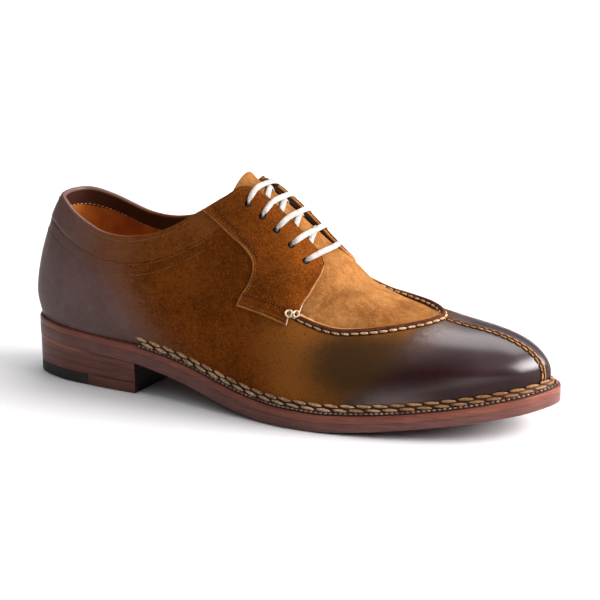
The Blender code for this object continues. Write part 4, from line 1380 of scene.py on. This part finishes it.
def build_apron(materials):
    """The apron and the tongue that it runs into, as one sheet."""
    station = apron_stations()
    across = np.linspace(-1, 1, APRON_ROWS)[:, None]
    climb = np.abs(across) * np.where(across < 0, apron_edge(station, LATERAL), apron_edge(station, MEDIAL))
    turn = turn_at(station - TONGUE_DROP * across ** 2 * (1 - smooth(station, *TONGUE_DROP_FADE)))
    x, y, _ = np.moveaxis(bare_last(turn, climb), -1, 0)
    rim = TONGUE_RIM * (1 - smooth(station, *TONGUE_RIM_FADE))
    dip = APRON_DIP * smooth(station, *APRON_DIP_FADE) * (1 - smooth(station, *APRON_DIP_END))
    height = rim - dip - tongue_depth(station, y) - creased(x, y)
    outer = last(turn, climb, height)
    inner = last(turn, climb, height - APRON_THICKNESS)
    piece = shell("apron", outer, inner, [materials["apron"], materials["lining"], materials["apron"]])
    x, y, _ = points_of(piece).T
    # Painted shade in the creases and on the tongue's back part
    shade = CREASE_SHADE * creased(x, y) + TONGUE_SHADE * (1 - smooth(x, *TONGUE_SHADE_END))
    add_layer(piece, "crease", shade)
    label(piece, "tongue")


# Facings and lace


def facing_edge(turns, side):
    """Climb of the facing's free edge: collar or throat, the lower of the two."""
    collar = collar_climb(turns, side)
    throat = side_climb(turns, side, throat_half(station_at(turns)))
    return side * np.maximum(np.abs(collar), np.abs(throat))


def side_places(line, side):
    """Places of points given as station and height."""
    rise = MEDIAL_RISE if side == MEDIAL else 0.0
    target = np.array(line, float) + [0.0, rise]
    turn, climb = find_on_last((0, 2), target, turn_at(target[:, 0]), side * SIDE_CLIMB)
    return np.stack([turn, climb], axis=1)


def front_places(side):
    """Places along the facing's front edge, from the throat down to the tab's corner."""
    station, across = np.array(FACING_FRONT).T
    start = THROAT_CENTRE + side * across[0]
    knot = side * APRON_HALF[side]
    y = start + (knot - start) * (across - across[0]) / (across[-1] - across[0])
    turn, climb = find_on_last((0, 1), np.stack([station, y], axis=1), turn_at(station), side * FRONT_CLIMB)
    return np.concatenate([np.stack([turn, climb], axis=1), side_places(FACING_TAB, side)])


def smooth_line(line, steps):
    """Even places on a smooth curve through the given places."""
    return open_curve(np.asarray(line) * PLACE_SCALE, steps) / PLACE_SCALE


def facing_sides(side):
    """The four edges of the facing as places: free edge of collar and throat, bottom, back and front."""
    back = side_places(open_curve(FACING_BACK, FACING_BACK_STEPS), side)
    collar = turn_at(FACING_COLLAR)
    corner = turn_at([FACING_CORNER])
    throat = turn_at(FACING_THROAT)
    run = [
        back[:1],
        np.stack([collar, collar_climb(collar, side)], axis=1),
        np.stack([corner, facing_edge(corner, side) + side * FACING_CORNER_DROP], axis=1),
        np.stack([throat, side_climb(throat, side, throat_half(station_at(throat)))], axis=1),
        front_places(side),
    ]
    whole = smooth_line(np.concatenate(run), FACING_WHOLE_STEPS)
    away = np.abs(bare_last(*whole.T)[:, 0] - FACING_SPLIT)
    away[whole[:, 0] < turn_at(FACING_FRONT_ONLY)] = LENGTH
    split = int(np.argmin(away))
    free = smooth_line(whole[: split + 1], FACING_FREE_STEPS)
    front = smooth_line(whole[split:], FACING_SIDE_STEPS)
    back = smooth_line(back, FACING_SIDE_STEPS)
    bottom = back[-1] + (front[-1] - back[-1]) * np.linspace(0, 1, FACING_BOTTOM_STEPS)[:, None]
    return free, bottom, back, front


def facing_puff(points, sides, side):
    """How far the facing stands off the last where tongue and lace lie under it."""
    _, bottom, back, front = sides
    to_back = distance_to(points, bare_last(*np.concatenate([back, bottom]).T))
    to_front = distance_to(points, bare_last(*front.T))
    lift = PUFF[side] * smooth(to_back, *PUFF_BACK) * smooth(to_front, *PUFF_FRONT)
    return lift * (PUFF_LEAST + (1 - PUFF_LEAST) * smooth(to_front, *PUFF_FULL))


def fine_ends(count):
    """Shares from 0 to 1 that lie close together at both ends."""
    even = np.linspace(0, 1, count)
    return FACING_EVEN * even + (1 - FACING_EVEN) * (1 - np.cos(np.pi * even)) / 2


def pick(line, share):
    """Places at shares of a line's length."""
    along = np.linspace(0, 1, len(line))
    return np.stack([np.interp(share, along, line[:, k]) for k in (0, 1)], axis=-1)


def patch(sides, u, v):
    """Places inside four edges, for shares across and down."""
    top, bottom, back, front = sides
    across = u[..., None]
    down = v[..., None]
    by_rows = (1 - down) * pick(top, u) + down * pick(bottom, u)
    by_columns = (1 - across) * pick(back, v) + across * pick(front, v)
    top_corners = (1 - across) * top[0] + across * top[-1]
    low_corners = (1 - across) * bottom[0] + across * bottom[-1]
    return by_rows + by_columns - (1 - down) * top_corners - down * low_corners


def distance_to(points, line):
    """Distance of points to the nearest point of a line."""
    found = np.full(points.shape[:-1], np.inf)
    for spot in line:
        found = np.minimum(found, np.sum((points - spot) ** 2, axis=-1))
    return np.sqrt(found)


def build_facing(name, side, materials):
    """One facing with rounded edges and its eyelets; returns its four edges."""
    sides = facing_sides(side)
    v, u = np.meshgrid(fine_ends(FACING_ROWS), fine_ends(FACING_COLUMNS), indexing="ij")
    turn, climb = np.moveaxis(patch(sides, u, v), -1, 0)
    ground = bare_last(turn, climb)
    lines = [bare_last(*line.T) for line in sides]
    to_edge = np.clip(distance_to(ground, np.concatenate(lines)) / FACING_ROUND, 0, 1)
    to_overlay = distance_to(ground, np.concatenate(lines[1:]))
    puff = facing_puff(ground, sides, side)
    top = puff + FACING_TOP - FACING_ROUND * (1 - np.sqrt(1 - (1 - to_edge) ** 2))
    low = puff + FACING_LOW - (WALL + FACING_LOW) * smooth(to_overlay, *FACING_LAP)
    skins = [materials["facing"], materials["lining"], materials["cut"], materials["dark edge"]]
    piece = shell(name, last(turn, climb, top), last(turn, climb, low), skins)
    darken_free_edge(piece)
    cut_eyelets(piece, side)
    label(piece, name)
    return sides


def darken_free_edge(piece):
    """Gives the border faces along collar and throat the dark edge material, which is partly painted shade
    under the free edge.
    """
    polygons = piece.data.polygons
    index = np.empty(len(polygons), dtype=np.int32)
    polygons.foreach_get("material_index", index)
    border = np.flatnonzero(index == BORDER_SKIN)
    index[border[: FACING_COLUMNS - 1]] = EDGE_SKIN
    polygons.foreach_set("material_index", index)


def eyelet_places(side):
    station = np.linspace(EYELET_FIRST, EYELET_LAST, EYELETS)
    turns = turn_at(station)
    across = throat_half(station) + EYELET_EDGE + EYELET_EDGE_SPREAD * (station - EYELET_FIRST)
    return turns, side_climb(turns, side, across)


def eyelet_rods(side):
    """Points and faces of rods through the eyelets of one facing."""
    angle = np.linspace(0, 2 * np.pi, EYELET_STEPS, endpoint=False)[:, None]
    rods = []
    for turn, climb in zip(*eyelet_places(side)):
        up = normal_of(turn, climb)
        first = unit(np.cross(up, [1.0, 0.0, 0.0]))
        second = np.cross(up, first)
        disc = bare_last(turn, climb) + EYELET_RADIUS * (np.cos(angle) * first + np.sin(angle) * second)
        rods.append(swept([disc - up * EYELET_ROD, disc + up * EYELET_ROD]))
    return joined(rods)


def cut_eyelets(piece, side):
    """Punches the round eyelets through a facing."""
    points, faces = eyelet_rods(side)
    mesh = bpy.data.meshes.new("eyelet_cutter")
    mesh.from_pydata(((points - ORIGIN) * MM).tolist(), [], faces)
    for material in piece.data.materials:
        mesh.materials.append(material)
    # The hole walls take the dark edge: partly painted shade inside the holes
    mesh.polygons.foreach_set("material_index", np.full(len(faces), EDGE_SKIN, dtype=np.int32))
    cutter = bpy.data.objects.new("eyelet_cutter", mesh)
    bpy.context.scene.collection.objects.link(cutter)
    hole = piece.modifiers.new("eyelets", "BOOLEAN")
    hole.operation = "DIFFERENCE"
    hole.solver = "EXACT"
    hole.object = cutter
    made = piece.evaluated_get(bpy.context.evaluated_depsgraph_get())
    result = bpy.data.meshes.new_from_object(made)
    piece.modifiers.clear()
    piece.data = result
    bpy.data.objects.remove(cutter, do_unlink=True)


def lace_spots(side, sides):
    """Each eyelet of a facing, with the edge beside it and how far both stand off the last."""
    turns, climbs = eyelet_places(side)
    edges = facing_edge(turns, side)
    rise = facing_puff(bare_last(turns, climbs), sides, side)
    edge_rise = facing_puff(bare_last(turns, edges), sides, side)
    return [Spot(*row) for row in zip(turns, climbs, edges, rise, edge_rise)]


def lace_half(spot, bow):
    """Points of a lace bar on its way out of an eyelet, and its point over the facing's edge."""
    station = station_at(spot.turn)
    way = []
    for share, bowed, height in LACE_WAY:
        climb = spot.climb + (spot.edge - spot.climb) * share
        way.append(last(turn_at(station + bow * bowed), climb, spot.rise + height))
    return way, last(turn_at(station + bow), spot.edge, spot.edge_rise + LACE_OVER - LACE_EDGE_SINK)


def lace_bar(near, far, bow):
    """Path of a bar from eyelet to eyelet, with its upward direction."""
    near_way, near_edge = lace_half(near, bow)
    far_way, far_edge = lace_half(far, bow)
    middle = (near_edge + far_edge) / 2 + [0.0, 0.0, LACE_CROWN]
    path = open_curve([*near_way, middle, *reversed(far_way)], LACE_STEPS)
    return path, np.tile(normal_of(near.turn, 0.0), (len(path), 1))


def lace_diagonal(near, far):
    """Path on the tongue from one eyelet to the next one on the other side."""
    share = np.linspace(0, 1, DIAGONAL_STEPS)
    turn = near.turn + (far.turn - near.turn) * share
    climb = near.climb + (far.climb - near.climb) * share
    depth = tongue_depth(station_at(turn), bare_last(turn, climb)[:, 1])
    return last(turn, climb, LACE_FLAT - depth), normal_of(turn, climb)


def build_lace(materials, facings):
    """Bars over the facings and diagonals under them."""
    lateral, medial = (lace_spots(side, sides) for side, sides in zip(SIDES, facings))
    profile = oval(LACE_HALF_WIDTH, LACE_HALF_HEIGHT, LACE_SIDES)
    for k in range(EYELETS):
        run = lace_bar(lateral[k], medial[k], LACE_BOW * (k + 1) / EYELETS)
        share = np.linspace(0, 1, len(run[0]))
        swell = smooth(np.minimum(share, 1 - share), *LACE_NARROW_FADE)
        scale = LACE_NARROW + (1 - LACE_NARROW) * swell
        piece = strips(f"lace_bar_{k + 1}", [run], profile, materials["lace"], scale)
        label(piece, f"lace_bar_{k + 1}")
    profile = oval(LACE_HALF_WIDTH, LACE_FLAT, LACE_SIDES)
    for k in range(EYELETS - 1):
        run = lace_diagonal(lateral[k + 1], medial[k])
        piece = strips(f"lace_diagonal_{k + 1}", [run], profile, materials["lace"])
        label(piece)


# Seams, stitches and welt


def places_path(places, offset=0.0):
    """Path and normals over places of the last."""
    turn, climb = np.asarray(places).T
    return last(turn, climb, offset), normal_of(turn, climb)


def shifted(points, normals, sideways, up):
    """A path moved sideways and up in its own frame."""
    _, across, raised = frames_along(points, normals)
    return points + across * sideways + raised * up, normals


def ridge(half_width, height):
    """Cross-section of a raised seam."""
    angle = np.linspace(0, np.pi, 9)
    return [(half_width * math.cos(a), height * math.sin(a) ** RIDGE_POWER - RIDGE_SINK) for a in angle]


def beside(path, normals, shifts, pitch):
    """Rows of points beside a path."""
    return [resample(*shifted(path, normals, *shift), pitch) for shift in shifts]


def build_apron_seam(materials):
    """The raised seam round the apron, with its stitches, a dark strip of painted shadow below them and the
    pale lips at its back ends.
    """
    lateral = apron_places(LATERAL, APRON_SEAM_STEPS)
    medial = apron_places(MEDIAL, APRON_SEAM_STEPS)
    path, normals = places_path(np.concatenate([lateral, medial[-2::-1]]))
    piece = strips("apron_seam", [(path, normals)], ridge(*APRON_RIDGE), materials["ridge"])
    label(piece, "apron_seam")
    runs = beside(path, normals, APRON_STITCH_SHIFTS, APRON_STITCH.pitch)
    label(stitches("apron_stitches", runs, APRON_STITCH, materials["seam"]))
    shade_line = shifted(path, normals, *APRON_SHADE_LINE_SHIFT)
    label(strips("apron_shade_line", [shade_line], oval(*APRON_SHADE_LINE, 8), materials["shade_line"]))
    fade = 1 - APRON_LIP_SHRINK * smooth(np.arange(APRON_LIP_STEPS), *APRON_LIP_END)
    lips = [
        ("apron_lip_lateral", lateral[:APRON_LIP_STEPS], fade),
        ("apron_lip_medial", medial[:APRON_LIP_STEPS][::-1], fade[::-1]),
    ]
    for name, places, scale in lips:
        lip = shifted(*places_path(places), *APRON_LIP_SHIFT)
        label(strips(name, [lip], oval(*APRON_LIP, 8), materials["lip"], scale))


def build_toe_seam(materials):
    """The raised seam down the middle of the toe, with two rows of stitches and dark dashes between them."""
    path, normals = places_path(toe_seam_places(TOE_SEAM_STEPS))
    piece = strips("toe_seam", [(path, normals)], ridge(*TOE_RIDGE), materials["ridge"])
    label(piece, "toe_seam")
    runs = beside(path, normals, TOE_STITCH_SHIFTS, TOE_STITCH.pitch)
    label(stitches("toe_stitches", runs, TOE_STITCH, materials["toe thread"]))
    runs = beside(path[TOE_DASH_FIRST:], normals[TOE_DASH_FIRST:], [TOE_DASH_SHIFT], TOE_DASH.pitch)
    label(stitches("toe_dashes", runs, TOE_DASH, materials["dark thread"]))


def build_knots(materials):
    """Two loops of thread side by side where the apron's seam ends at each facing."""
    round_strand = np.linspace(0, 2 * np.pi, KNOT_SIDES, endpoint=False)[:, None]
    for side, name in zip(SIDES, ("knot_lateral", "knot_medial")):
        turn, climb = apron_places(side, 4)[0]
        up = normal_of(turn, climb)
        along = unit(np.cross(up, [0.0, 0.0, 1.0])) * -side
        across = np.cross(up, along)
        loops = []
        for shift, reach, strand in KNOT_LOOPS:
            centre = last(turn, climb, KNOT_HEIGHT) + along * shift
            rings = []
            for angle in np.linspace(0, 2 * np.pi, KNOT_STEPS, endpoint=False):
                out = math.cos(angle) * along + math.sin(angle) * across
                middle = centre + out * reach + up * KNOT_WAVE * math.cos(2 * angle)
                rings.append(middle + strand * (np.cos(round_strand) * out + np.sin(round_strand) * up))
            loops.append(swept(rings, True))
        label(add_piece(name, *joined(loops), [materials["knot"]], sharp=0))


def foot_path(height, out):
    """A line round the foot of the upper, at a height above the sole and a distance from the wall."""
    start = float(turn_at(WELT_BACK))
    sweep = np.linspace(start, 2 - start, WELT_STEPS)
    side = np.where(sweep <= 1, LATERAL, MEDIAL)
    turn = np.where(sweep <= 1, sweep, 2 - sweep)
    station = station_at(turn)
    foot, belly = foot_and_belly(station)
    climb = side * (FOOT_CLIMB - height / (belly - foot))
    outward = unit(normal_of(turn, climb) * [1.0, 1.0, 0.0])
    share = np.clip(column(SOLE_EDGE, "margin", station) / WELT_FULL_MARGIN, WELT_LEAST, 1.0)
    point = bare_last(turn, climb) + outward * (out * share)[:, None]
    point[:, 2] = sole_top(point[:, 0]) + height
    return point, outward


def braid_row(height, out, lean):
    """Evenly spaced points of one row of braids."""
    path, outward = foot_path(height, out)
    return resample(path, unit(outward + [0.0, 0.0, lean]), BRAID.pitch)


def build_welt(materials):
    """The welt bead with two braided rows, one set half a pitch on, and a row of small stitches."""
    rings = np.stack([foot_path(height, out)[0] for out, height in WELT_PROFILE], axis=1)
    label(add_piece("welt_bead", *swept(rings), [materials["welt"]]), "welt_bead")
    rows = [braid_row(*BRAID_INNER), between(*braid_row(*BRAID_OUTER))]
    piece = stitches("welt_braids", rows, BRAID, materials["braid"], POINTED_MESH)
    add_layer(piece, "aged", BRAID_AGE * smooth(points_of(piece)[:, 0], *BRAID_AGE_FADE))
    label(piece)
    path, _ = foot_path(WELT_STITCH_HEIGHT, WELT_STITCH_OUT)
    run = resample(path, np.tile([0.0, 0.0, 1.0], (len(path), 1)), WELT_STITCH.pitch)
    label(stitches("welt_stitches", [run], WELT_STITCH, materials["fine"]))


def row_beside(sides, inset, edge, first, final):
    """A line inside the facing, a distance from one of its four edges."""
    ends = np.array([0.0, 1.0])
    crosswise = edge == "back"
    places = []
    for along in np.linspace(first, final, FACING_ROW_STEPS):
        fixed = np.full(2, along)
        run = patch(sides, ends, fixed) if crosswise else patch(sides, fixed, ends)
        start, end = bare_last(*run.T)
        across = inset / np.linalg.norm(start - end)
        if edge == "bottom":
            across = 1 - across
        u, v = (across, along) if crosswise else (along, across)
        places.append(patch(sides, np.array(u), np.array(v)))
    return np.array(places)


def on_facing(places, sides, side, offset):
    """Path and normals over places of the facing."""
    return places_path(places, offset + facing_puff(bare_last(*places.T), sides, side))


def build_facing_edges(materials, facings):
    """Turned edges, throat rims, dark strips of painted shade along the pressed rows and the throat, pale
    front edges and stitches of both facings.
    """
    turned, rims, shade_lines, pale, runs = [], [], [], [], []
    for side, sides in zip(SIDES, facings):
        free, _, _, front = sides
        for row in FACING_TURNED_ROWS:
            turned.append(on_facing(row_beside(sides, *row), sides, side, FACING_TOP - FACING_TURNED_SINK))
        rim = on_facing(free[FACING_RIM_FIRST:], sides, side, FACING_RIM_HEIGHT)
        rims.append(shifted(*rim, side * FACING_RIM_SHIFT, 0.0))
        for row in FACING_SHADE_LINE_ROWS:
            shade_lines.append(on_facing(row_beside(sides, *row), sides, side, FACING_TOP))
        # A painted shade line along the throat edge
        throat = row_beside(sides, *FACING_THROAT_ROW)
        shade_lines.append(on_facing(throat, sides, side, FACING_TOP - FACING_SHADE_LINE_SINK))
        round_end = free[station_at(free[:, 0]) > FACING_FRONT_START]
        places = pick(np.concatenate([round_end, front[1:-1]]), np.linspace(0, 1, ROW_STEPS))
        pale.append(on_facing(places, sides, side, FACING_TOP - FACING_FRONT_SINK))
        for row in FACING_STITCH_ROWS:
            path, normals = on_facing(row_beside(sides, *row), sides, side, FACING_TOP + GAP)
            runs.append(resample(path, normals, FACING_STITCH.pitch))
    # The golden turned edges carry a painted highlight as well as their own colour
    label(strips("facing_edges", turned, oval(*FACING_TURNED), materials["cut"]))
    label(strips("facing_rims", rims, oval(*FACING_RIM), materials["rim"]))
    label(strips("facing_shade_lines", shade_lines, oval(*FACING_SHADE_LINE, 8), materials["shade_line"]))
    growing = smooth(np.linspace(0, 1, ROW_STEPS), *FACING_PALE_FADE)
    scale = FACING_PALE_LEAST + (1 - FACING_PALE_LEAST) * growing
    label(strips("facing_fronts", pale, oval(*FACING_PALE), materials["pale cut"], scale))
    label(stitches("facing_stitches", runs, FACING_STITCH, materials["stitch"], SMALL_MESH))


def build_collar_stitches(materials):
    """A row along the collar's edge and two rows below the band's seam."""
    runs = []
    for side in SIDES:
        for line, drop, offset, front in COLLAR_ROWS:
            turns = heel_turns(front, ROW_STEPS)
            station = station_at(turns)
            climb = height_climb(turns, side, height_at(line, station) + medial_rise(station, side) - drop)
            runs.append(resample(last(turns, climb, offset), normal_of(turns, climb), COLLAR_STITCH.pitch))
    piece = stitches("collar_stitches", runs, COLLAR_STITCH, materials["collar stitch"], SMALL_MESH)
    label(piece)


# Sole and heel


def plate_shares(steps, cut_back, cut_front):
    """Shares of a plate's length, close together at each round end."""
    turn = np.linspace(0, 1, steps + 1)
    if cut_back:
        return turn
    if cut_front:
        return 1 - np.cos(np.pi / 2 * turn)
    return (1 - np.cos(np.pi * turn)) / 2


def plate(name, levels, skins, first=None, final=None, steps=SOLE_STEPS):
    """A plate through levels of inset and height, cut at first and final; a second skin is for its front."""
    share = plate_shares(steps, first is not None, final is not None)
    loops = []
    for inset, height in levels:
        rows = []
        for n, line in enumerate(inset_sides(inset)):
            start = line[0, 0] if first is None else first[n]
            end = line[-1, 0] if final is None else final[n]
            station = start + (end - start) * share
            rows.append(np.stack([station, np.interp(station, *line.T), height(station)], axis=1))
        loops.append(np.concatenate([rows[0], rows[1][::-1]]))
    rings = np.array(loops)
    count, size = rings.shape[:2]
    walls = quads(count, size, 0, True)
    half = size // 2
    k = np.arange(half - 1)
    low = np.stack([k, size - 1 - k, size - 2 - k, k + 1], axis=1)
    top = (count - 1) * size + low[:, ::-1]
    faces = np.concatenate([walls, low, top])
    indices = np.zeros(len(faces), dtype=int)
    if len(skins) > 1:
        indices[half - 1:len(walls):size] = 1
    return add_piece(name, rings.reshape(-1, 3), faces, skins, indices)


def edge_levels(low, high, inset_low, inset_high, low_edge, top_edge):
    """Levels of a plate with small round edges."""
    return [
        (inset_low + low_edge * 2, low),
        (inset_low + low_edge, low),
        (inset_low + low_edge * EDGE_SHARE, lambda s: low(s) + low_edge * EDGE_SHARE),
        (inset_low, lambda s: low(s) + low_edge),
        ((inset_low + inset_high) / 2, lambda s: (low(s) + high(s)) / 2),
        (inset_high, lambda s: high(s) - top_edge),
        (inset_high + top_edge * EDGE_SHARE, lambda s: high(s) - top_edge * EDGE_SHARE),
        (inset_high + top_edge, high),
        (inset_high + top_edge * 2, high),
    ]


def raised(height, by):
    """A height over the station, moved up."""
    return lambda station: height(station) + by


def build_sole(materials):
    """Outsole, midsole and insole."""
    levels = edge_levels(underside, outsole_top, 0.0, 0.0, SOLE_ROUND, SOLE_JOINT_ROUND)
    label(plate("outsole", levels, [materials["outsole"]]), "outsole")
    levels = edge_levels(raised(outsole_top, GAP), sole_top, 0.0, 0.0, SOLE_JOINT_ROUND, MIDSOLE_ROUND)
    label(plate("midsole", levels, [materials["midsole"]]), "midsole")
    margin = column(SOLE_EDGE, "margin", OUTLINE[:, 0]) + WALL + INSOLE_GAP
    levels = [(margin + inset, raised(sole_top, height)) for inset, height in INSOLE_LEVELS]
    label(plate("insole", levels, [materials["insole"]]), "insole")


def heel_layer(share):
    """Height of a cut through the heel stack: 0 on the top piece, 1 under the outsole."""
    def height(station):
        top = underside(np.minimum(station, HEEL_BREAST)) - GAP
        return TOP_PIECE + (top - TOP_PIECE) * share
    return height


def build_heel_lifts(materials):
    """The stacked lifts, with a painted highlight along their upper edge at the back."""
    breast = (HEEL_BREAST, HEEL_BREAST)
    for k in range(HEEL_LIFTS):
        low = k / HEEL_LIFTS
        high = (k + 1) / HEEL_LIFTS
        inset_low = HEEL_INSET + HEEL_TAPER * (1 - low)
        inset_high = HEEL_INSET + HEEL_TAPER * (1 - high)
        bottom = raised(heel_layer(low), LIFT_GAP)
        levels = edge_levels(bottom, heel_layer(high), inset_low, inset_high, LIFT_ROUND, LIFT_ROUND)
        skins = [materials["heel"], materials["breast"]]
        piece = plate(f"heel_lift_{k + 1}", levels, skins, None, breast, LIFT_STEPS)
        x, _, z = points_of(piece).T
        # Painted highlight along the stack's upper edge at the back
        edge_highlight = smooth(z - heel_layer(1.0)(x), *EDGE_HIGHLIGHT_BELOW) * (1 - smooth(x, *EDGE_HIGHLIGHT_END))
        add_layer(piece, "painted_highlight", EDGE_HIGHLIGHT * edge_highlight)
        label(piece, f"heel_lift_{k + 1}")


def build_top_piece(materials):
    """The bottom lift: a rubber corner at the back and leather in front of it."""
    def level(height):
        return lambda station: np.full_like(station, height)
    inset = HEEL_INSET + HEEL_TAPER
    levels = edge_levels(level(0.0), level(TOP_PIECE - GAP), inset, inset, RUBBER_ROUND, RUBBER_ROUND)
    joint = (RUBBER_FRONT_LATERAL, RUBBER_FRONT_MEDIAL)
    piece = plate("heel_rubber", levels, [materials["rubber"]], None, joint, RUBBER_STEPS)
    label(piece, "heel_rubber")
    front = (RUBBER_FRONT_LATERAL + RUBBER_GAP, RUBBER_FRONT_MEDIAL + RUBBER_GAP)
    breast = (HEEL_BREAST, HEEL_BREAST)
    skins = [materials["heel"], materials["breast"]]
    piece = plate("top_piece", levels, skins, front, breast, TOP_PIECE_STEPS)
    label(piece, "top_piece")


# Camera, floor and light


def build_camera():
    """The camera at the photograph's angle, turned to the shoe."""
    azimuth, elevation, roll = (math.radians(v) for v in (CAMERA_AZIMUTH, CAMERA_ELEVATION, CAMERA_ROLL))
    level = math.cos(elevation)
    away = Vector((math.sin(azimuth) * level, -math.cos(azimuth) * level, math.sin(elevation)))
    stand = Vector(CAMERA_TARGET) + away * CAMERA_DISTANCE
    back = (stand - Vector(CAMERA_AIM)).normalized()
    right = Vector((0.0, 0.0, 1.0)).cross(back).normalized()
    up = back.cross(right)
    turned_right = right * math.cos(roll) + up * math.sin(roll)
    turned_up = up * math.cos(roll) - right * math.sin(roll)
    data = bpy.data.cameras.new("camera")
    data.sensor_width = SENSOR
    data.lens = CAMERA_FOCAL_PIXELS / PHOTO_PIXELS * SENSOR
    data.clip_start = 0.01
    camera = bpy.data.objects.new("camera", data)
    axes = Matrix((turned_right, turned_up, back)).transposed()
    camera.matrix_world = Matrix.Translation((stand - Vector(ORIGIN)) * MM) @ axes.to_4x4()
    bpy.context.scene.collection.objects.link(camera)
    bpy.context.scene.camera = camera


def add_light(light):
    """A soft rectangular light."""
    data = bpy.data.lights.new(light.name, "AREA")
    data.shape = "RECTANGLE"
    data.size, data.size_y = light.size
    data.energy = light.power
    data.color = light.colour
    lamp = bpy.data.objects.new(light.name, data)
    lamp.location = light.place
    lamp.rotation_euler = (Vector(light.target) - Vector(light.place)).to_track_quat("-Z", "Y").to_euler()
    bpy.context.scene.collection.objects.link(lamp)


def build_floor():
    """A floor painted greyer near the shoe, as painted shade round it, that turns white away from the shoe.
    """
    tree = new_tree("floor")
    away = tree.node("VectorMath", {0: tree.coordinates["Object"]}, "Value", operation="LENGTH")
    colour = tree.mix(tree.span(away, *FLOOR_FADE), FLOOR_NEAR, FLOOR_FAR)
    glow = tree.span(away, *FLOOR_GLOW_FADE, 0.0, FLOOR_GLOW)
    white = (1.0, 1.0, 1.0)
    material = tree.finish(colour, 0.8, Specular_IOR_Level=0.1, Emission_Color=white, Emission_Strength=glow)
    corners = [(x * FLOOR_HALF, y * FLOOR_HALF, 0) for x, y in ((-1, -1), (1, -1), (1, 1), (-1, 1))]
    mesh = bpy.data.meshes.new("floor")
    mesh.from_pydata(corners, [], [(0, 1, 2, 3)])
    mesh.materials.append(material)
    floor = bpy.data.objects.new("floor", mesh)
    floor.location.z = -FLOOR_DROP
    bpy.context.scene.collection.objects.link(floor)


def build_sky():
    """Soft light from above, weaker from the camera's side."""
    sky = Tree(bpy.data.worlds.new("studio"))
    bpy.context.scene.world = sky.owner
    direction = sky.coordinates["Generated"]
    rise = sky.span(sky.node("SeparateXYZ", {0: direction}, "Z"), *SKY_RISE, *SKY_LIGHT)
    side = sky.span(sky.node("SeparateXYZ", {0: direction}, "Y"), *SKY_SIDE, *SKY_SIDE_LIGHT)
    background = sky.nodes["Background"].inputs
    sky.plug(SKY_COLOUR, background["Color"])
    sky.plug(sky.math("MULTIPLY", rise, side), background["Strength"])


def main():
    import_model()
    materials = build_materials()
    build_camera()
    build_floor()
    build_sky()
    for light in LIGHTS:
        add_light(light)
    build_body(materials)
    build_lining_stitches(materials)
    build_band(materials)
    build_collar_roll(materials)
    build_apron(materials)
    facings = [
        build_facing("facing_lateral", LATERAL, materials),
        build_facing("facing_medial", MEDIAL, materials),
    ]
    build_lace(materials, facings)
    build_apron_seam(materials)
    build_toe_seam(materials)
    build_knots(materials)
    build_welt(materials)
    build_facing_edges(materials, facings)
    build_collar_stitches(materials)
    build_sole(materials)
    build_heel_lifts(materials)
    build_top_piece(materials)
    bpy.context.scene.view_settings.view_transform = "Standard"


main()
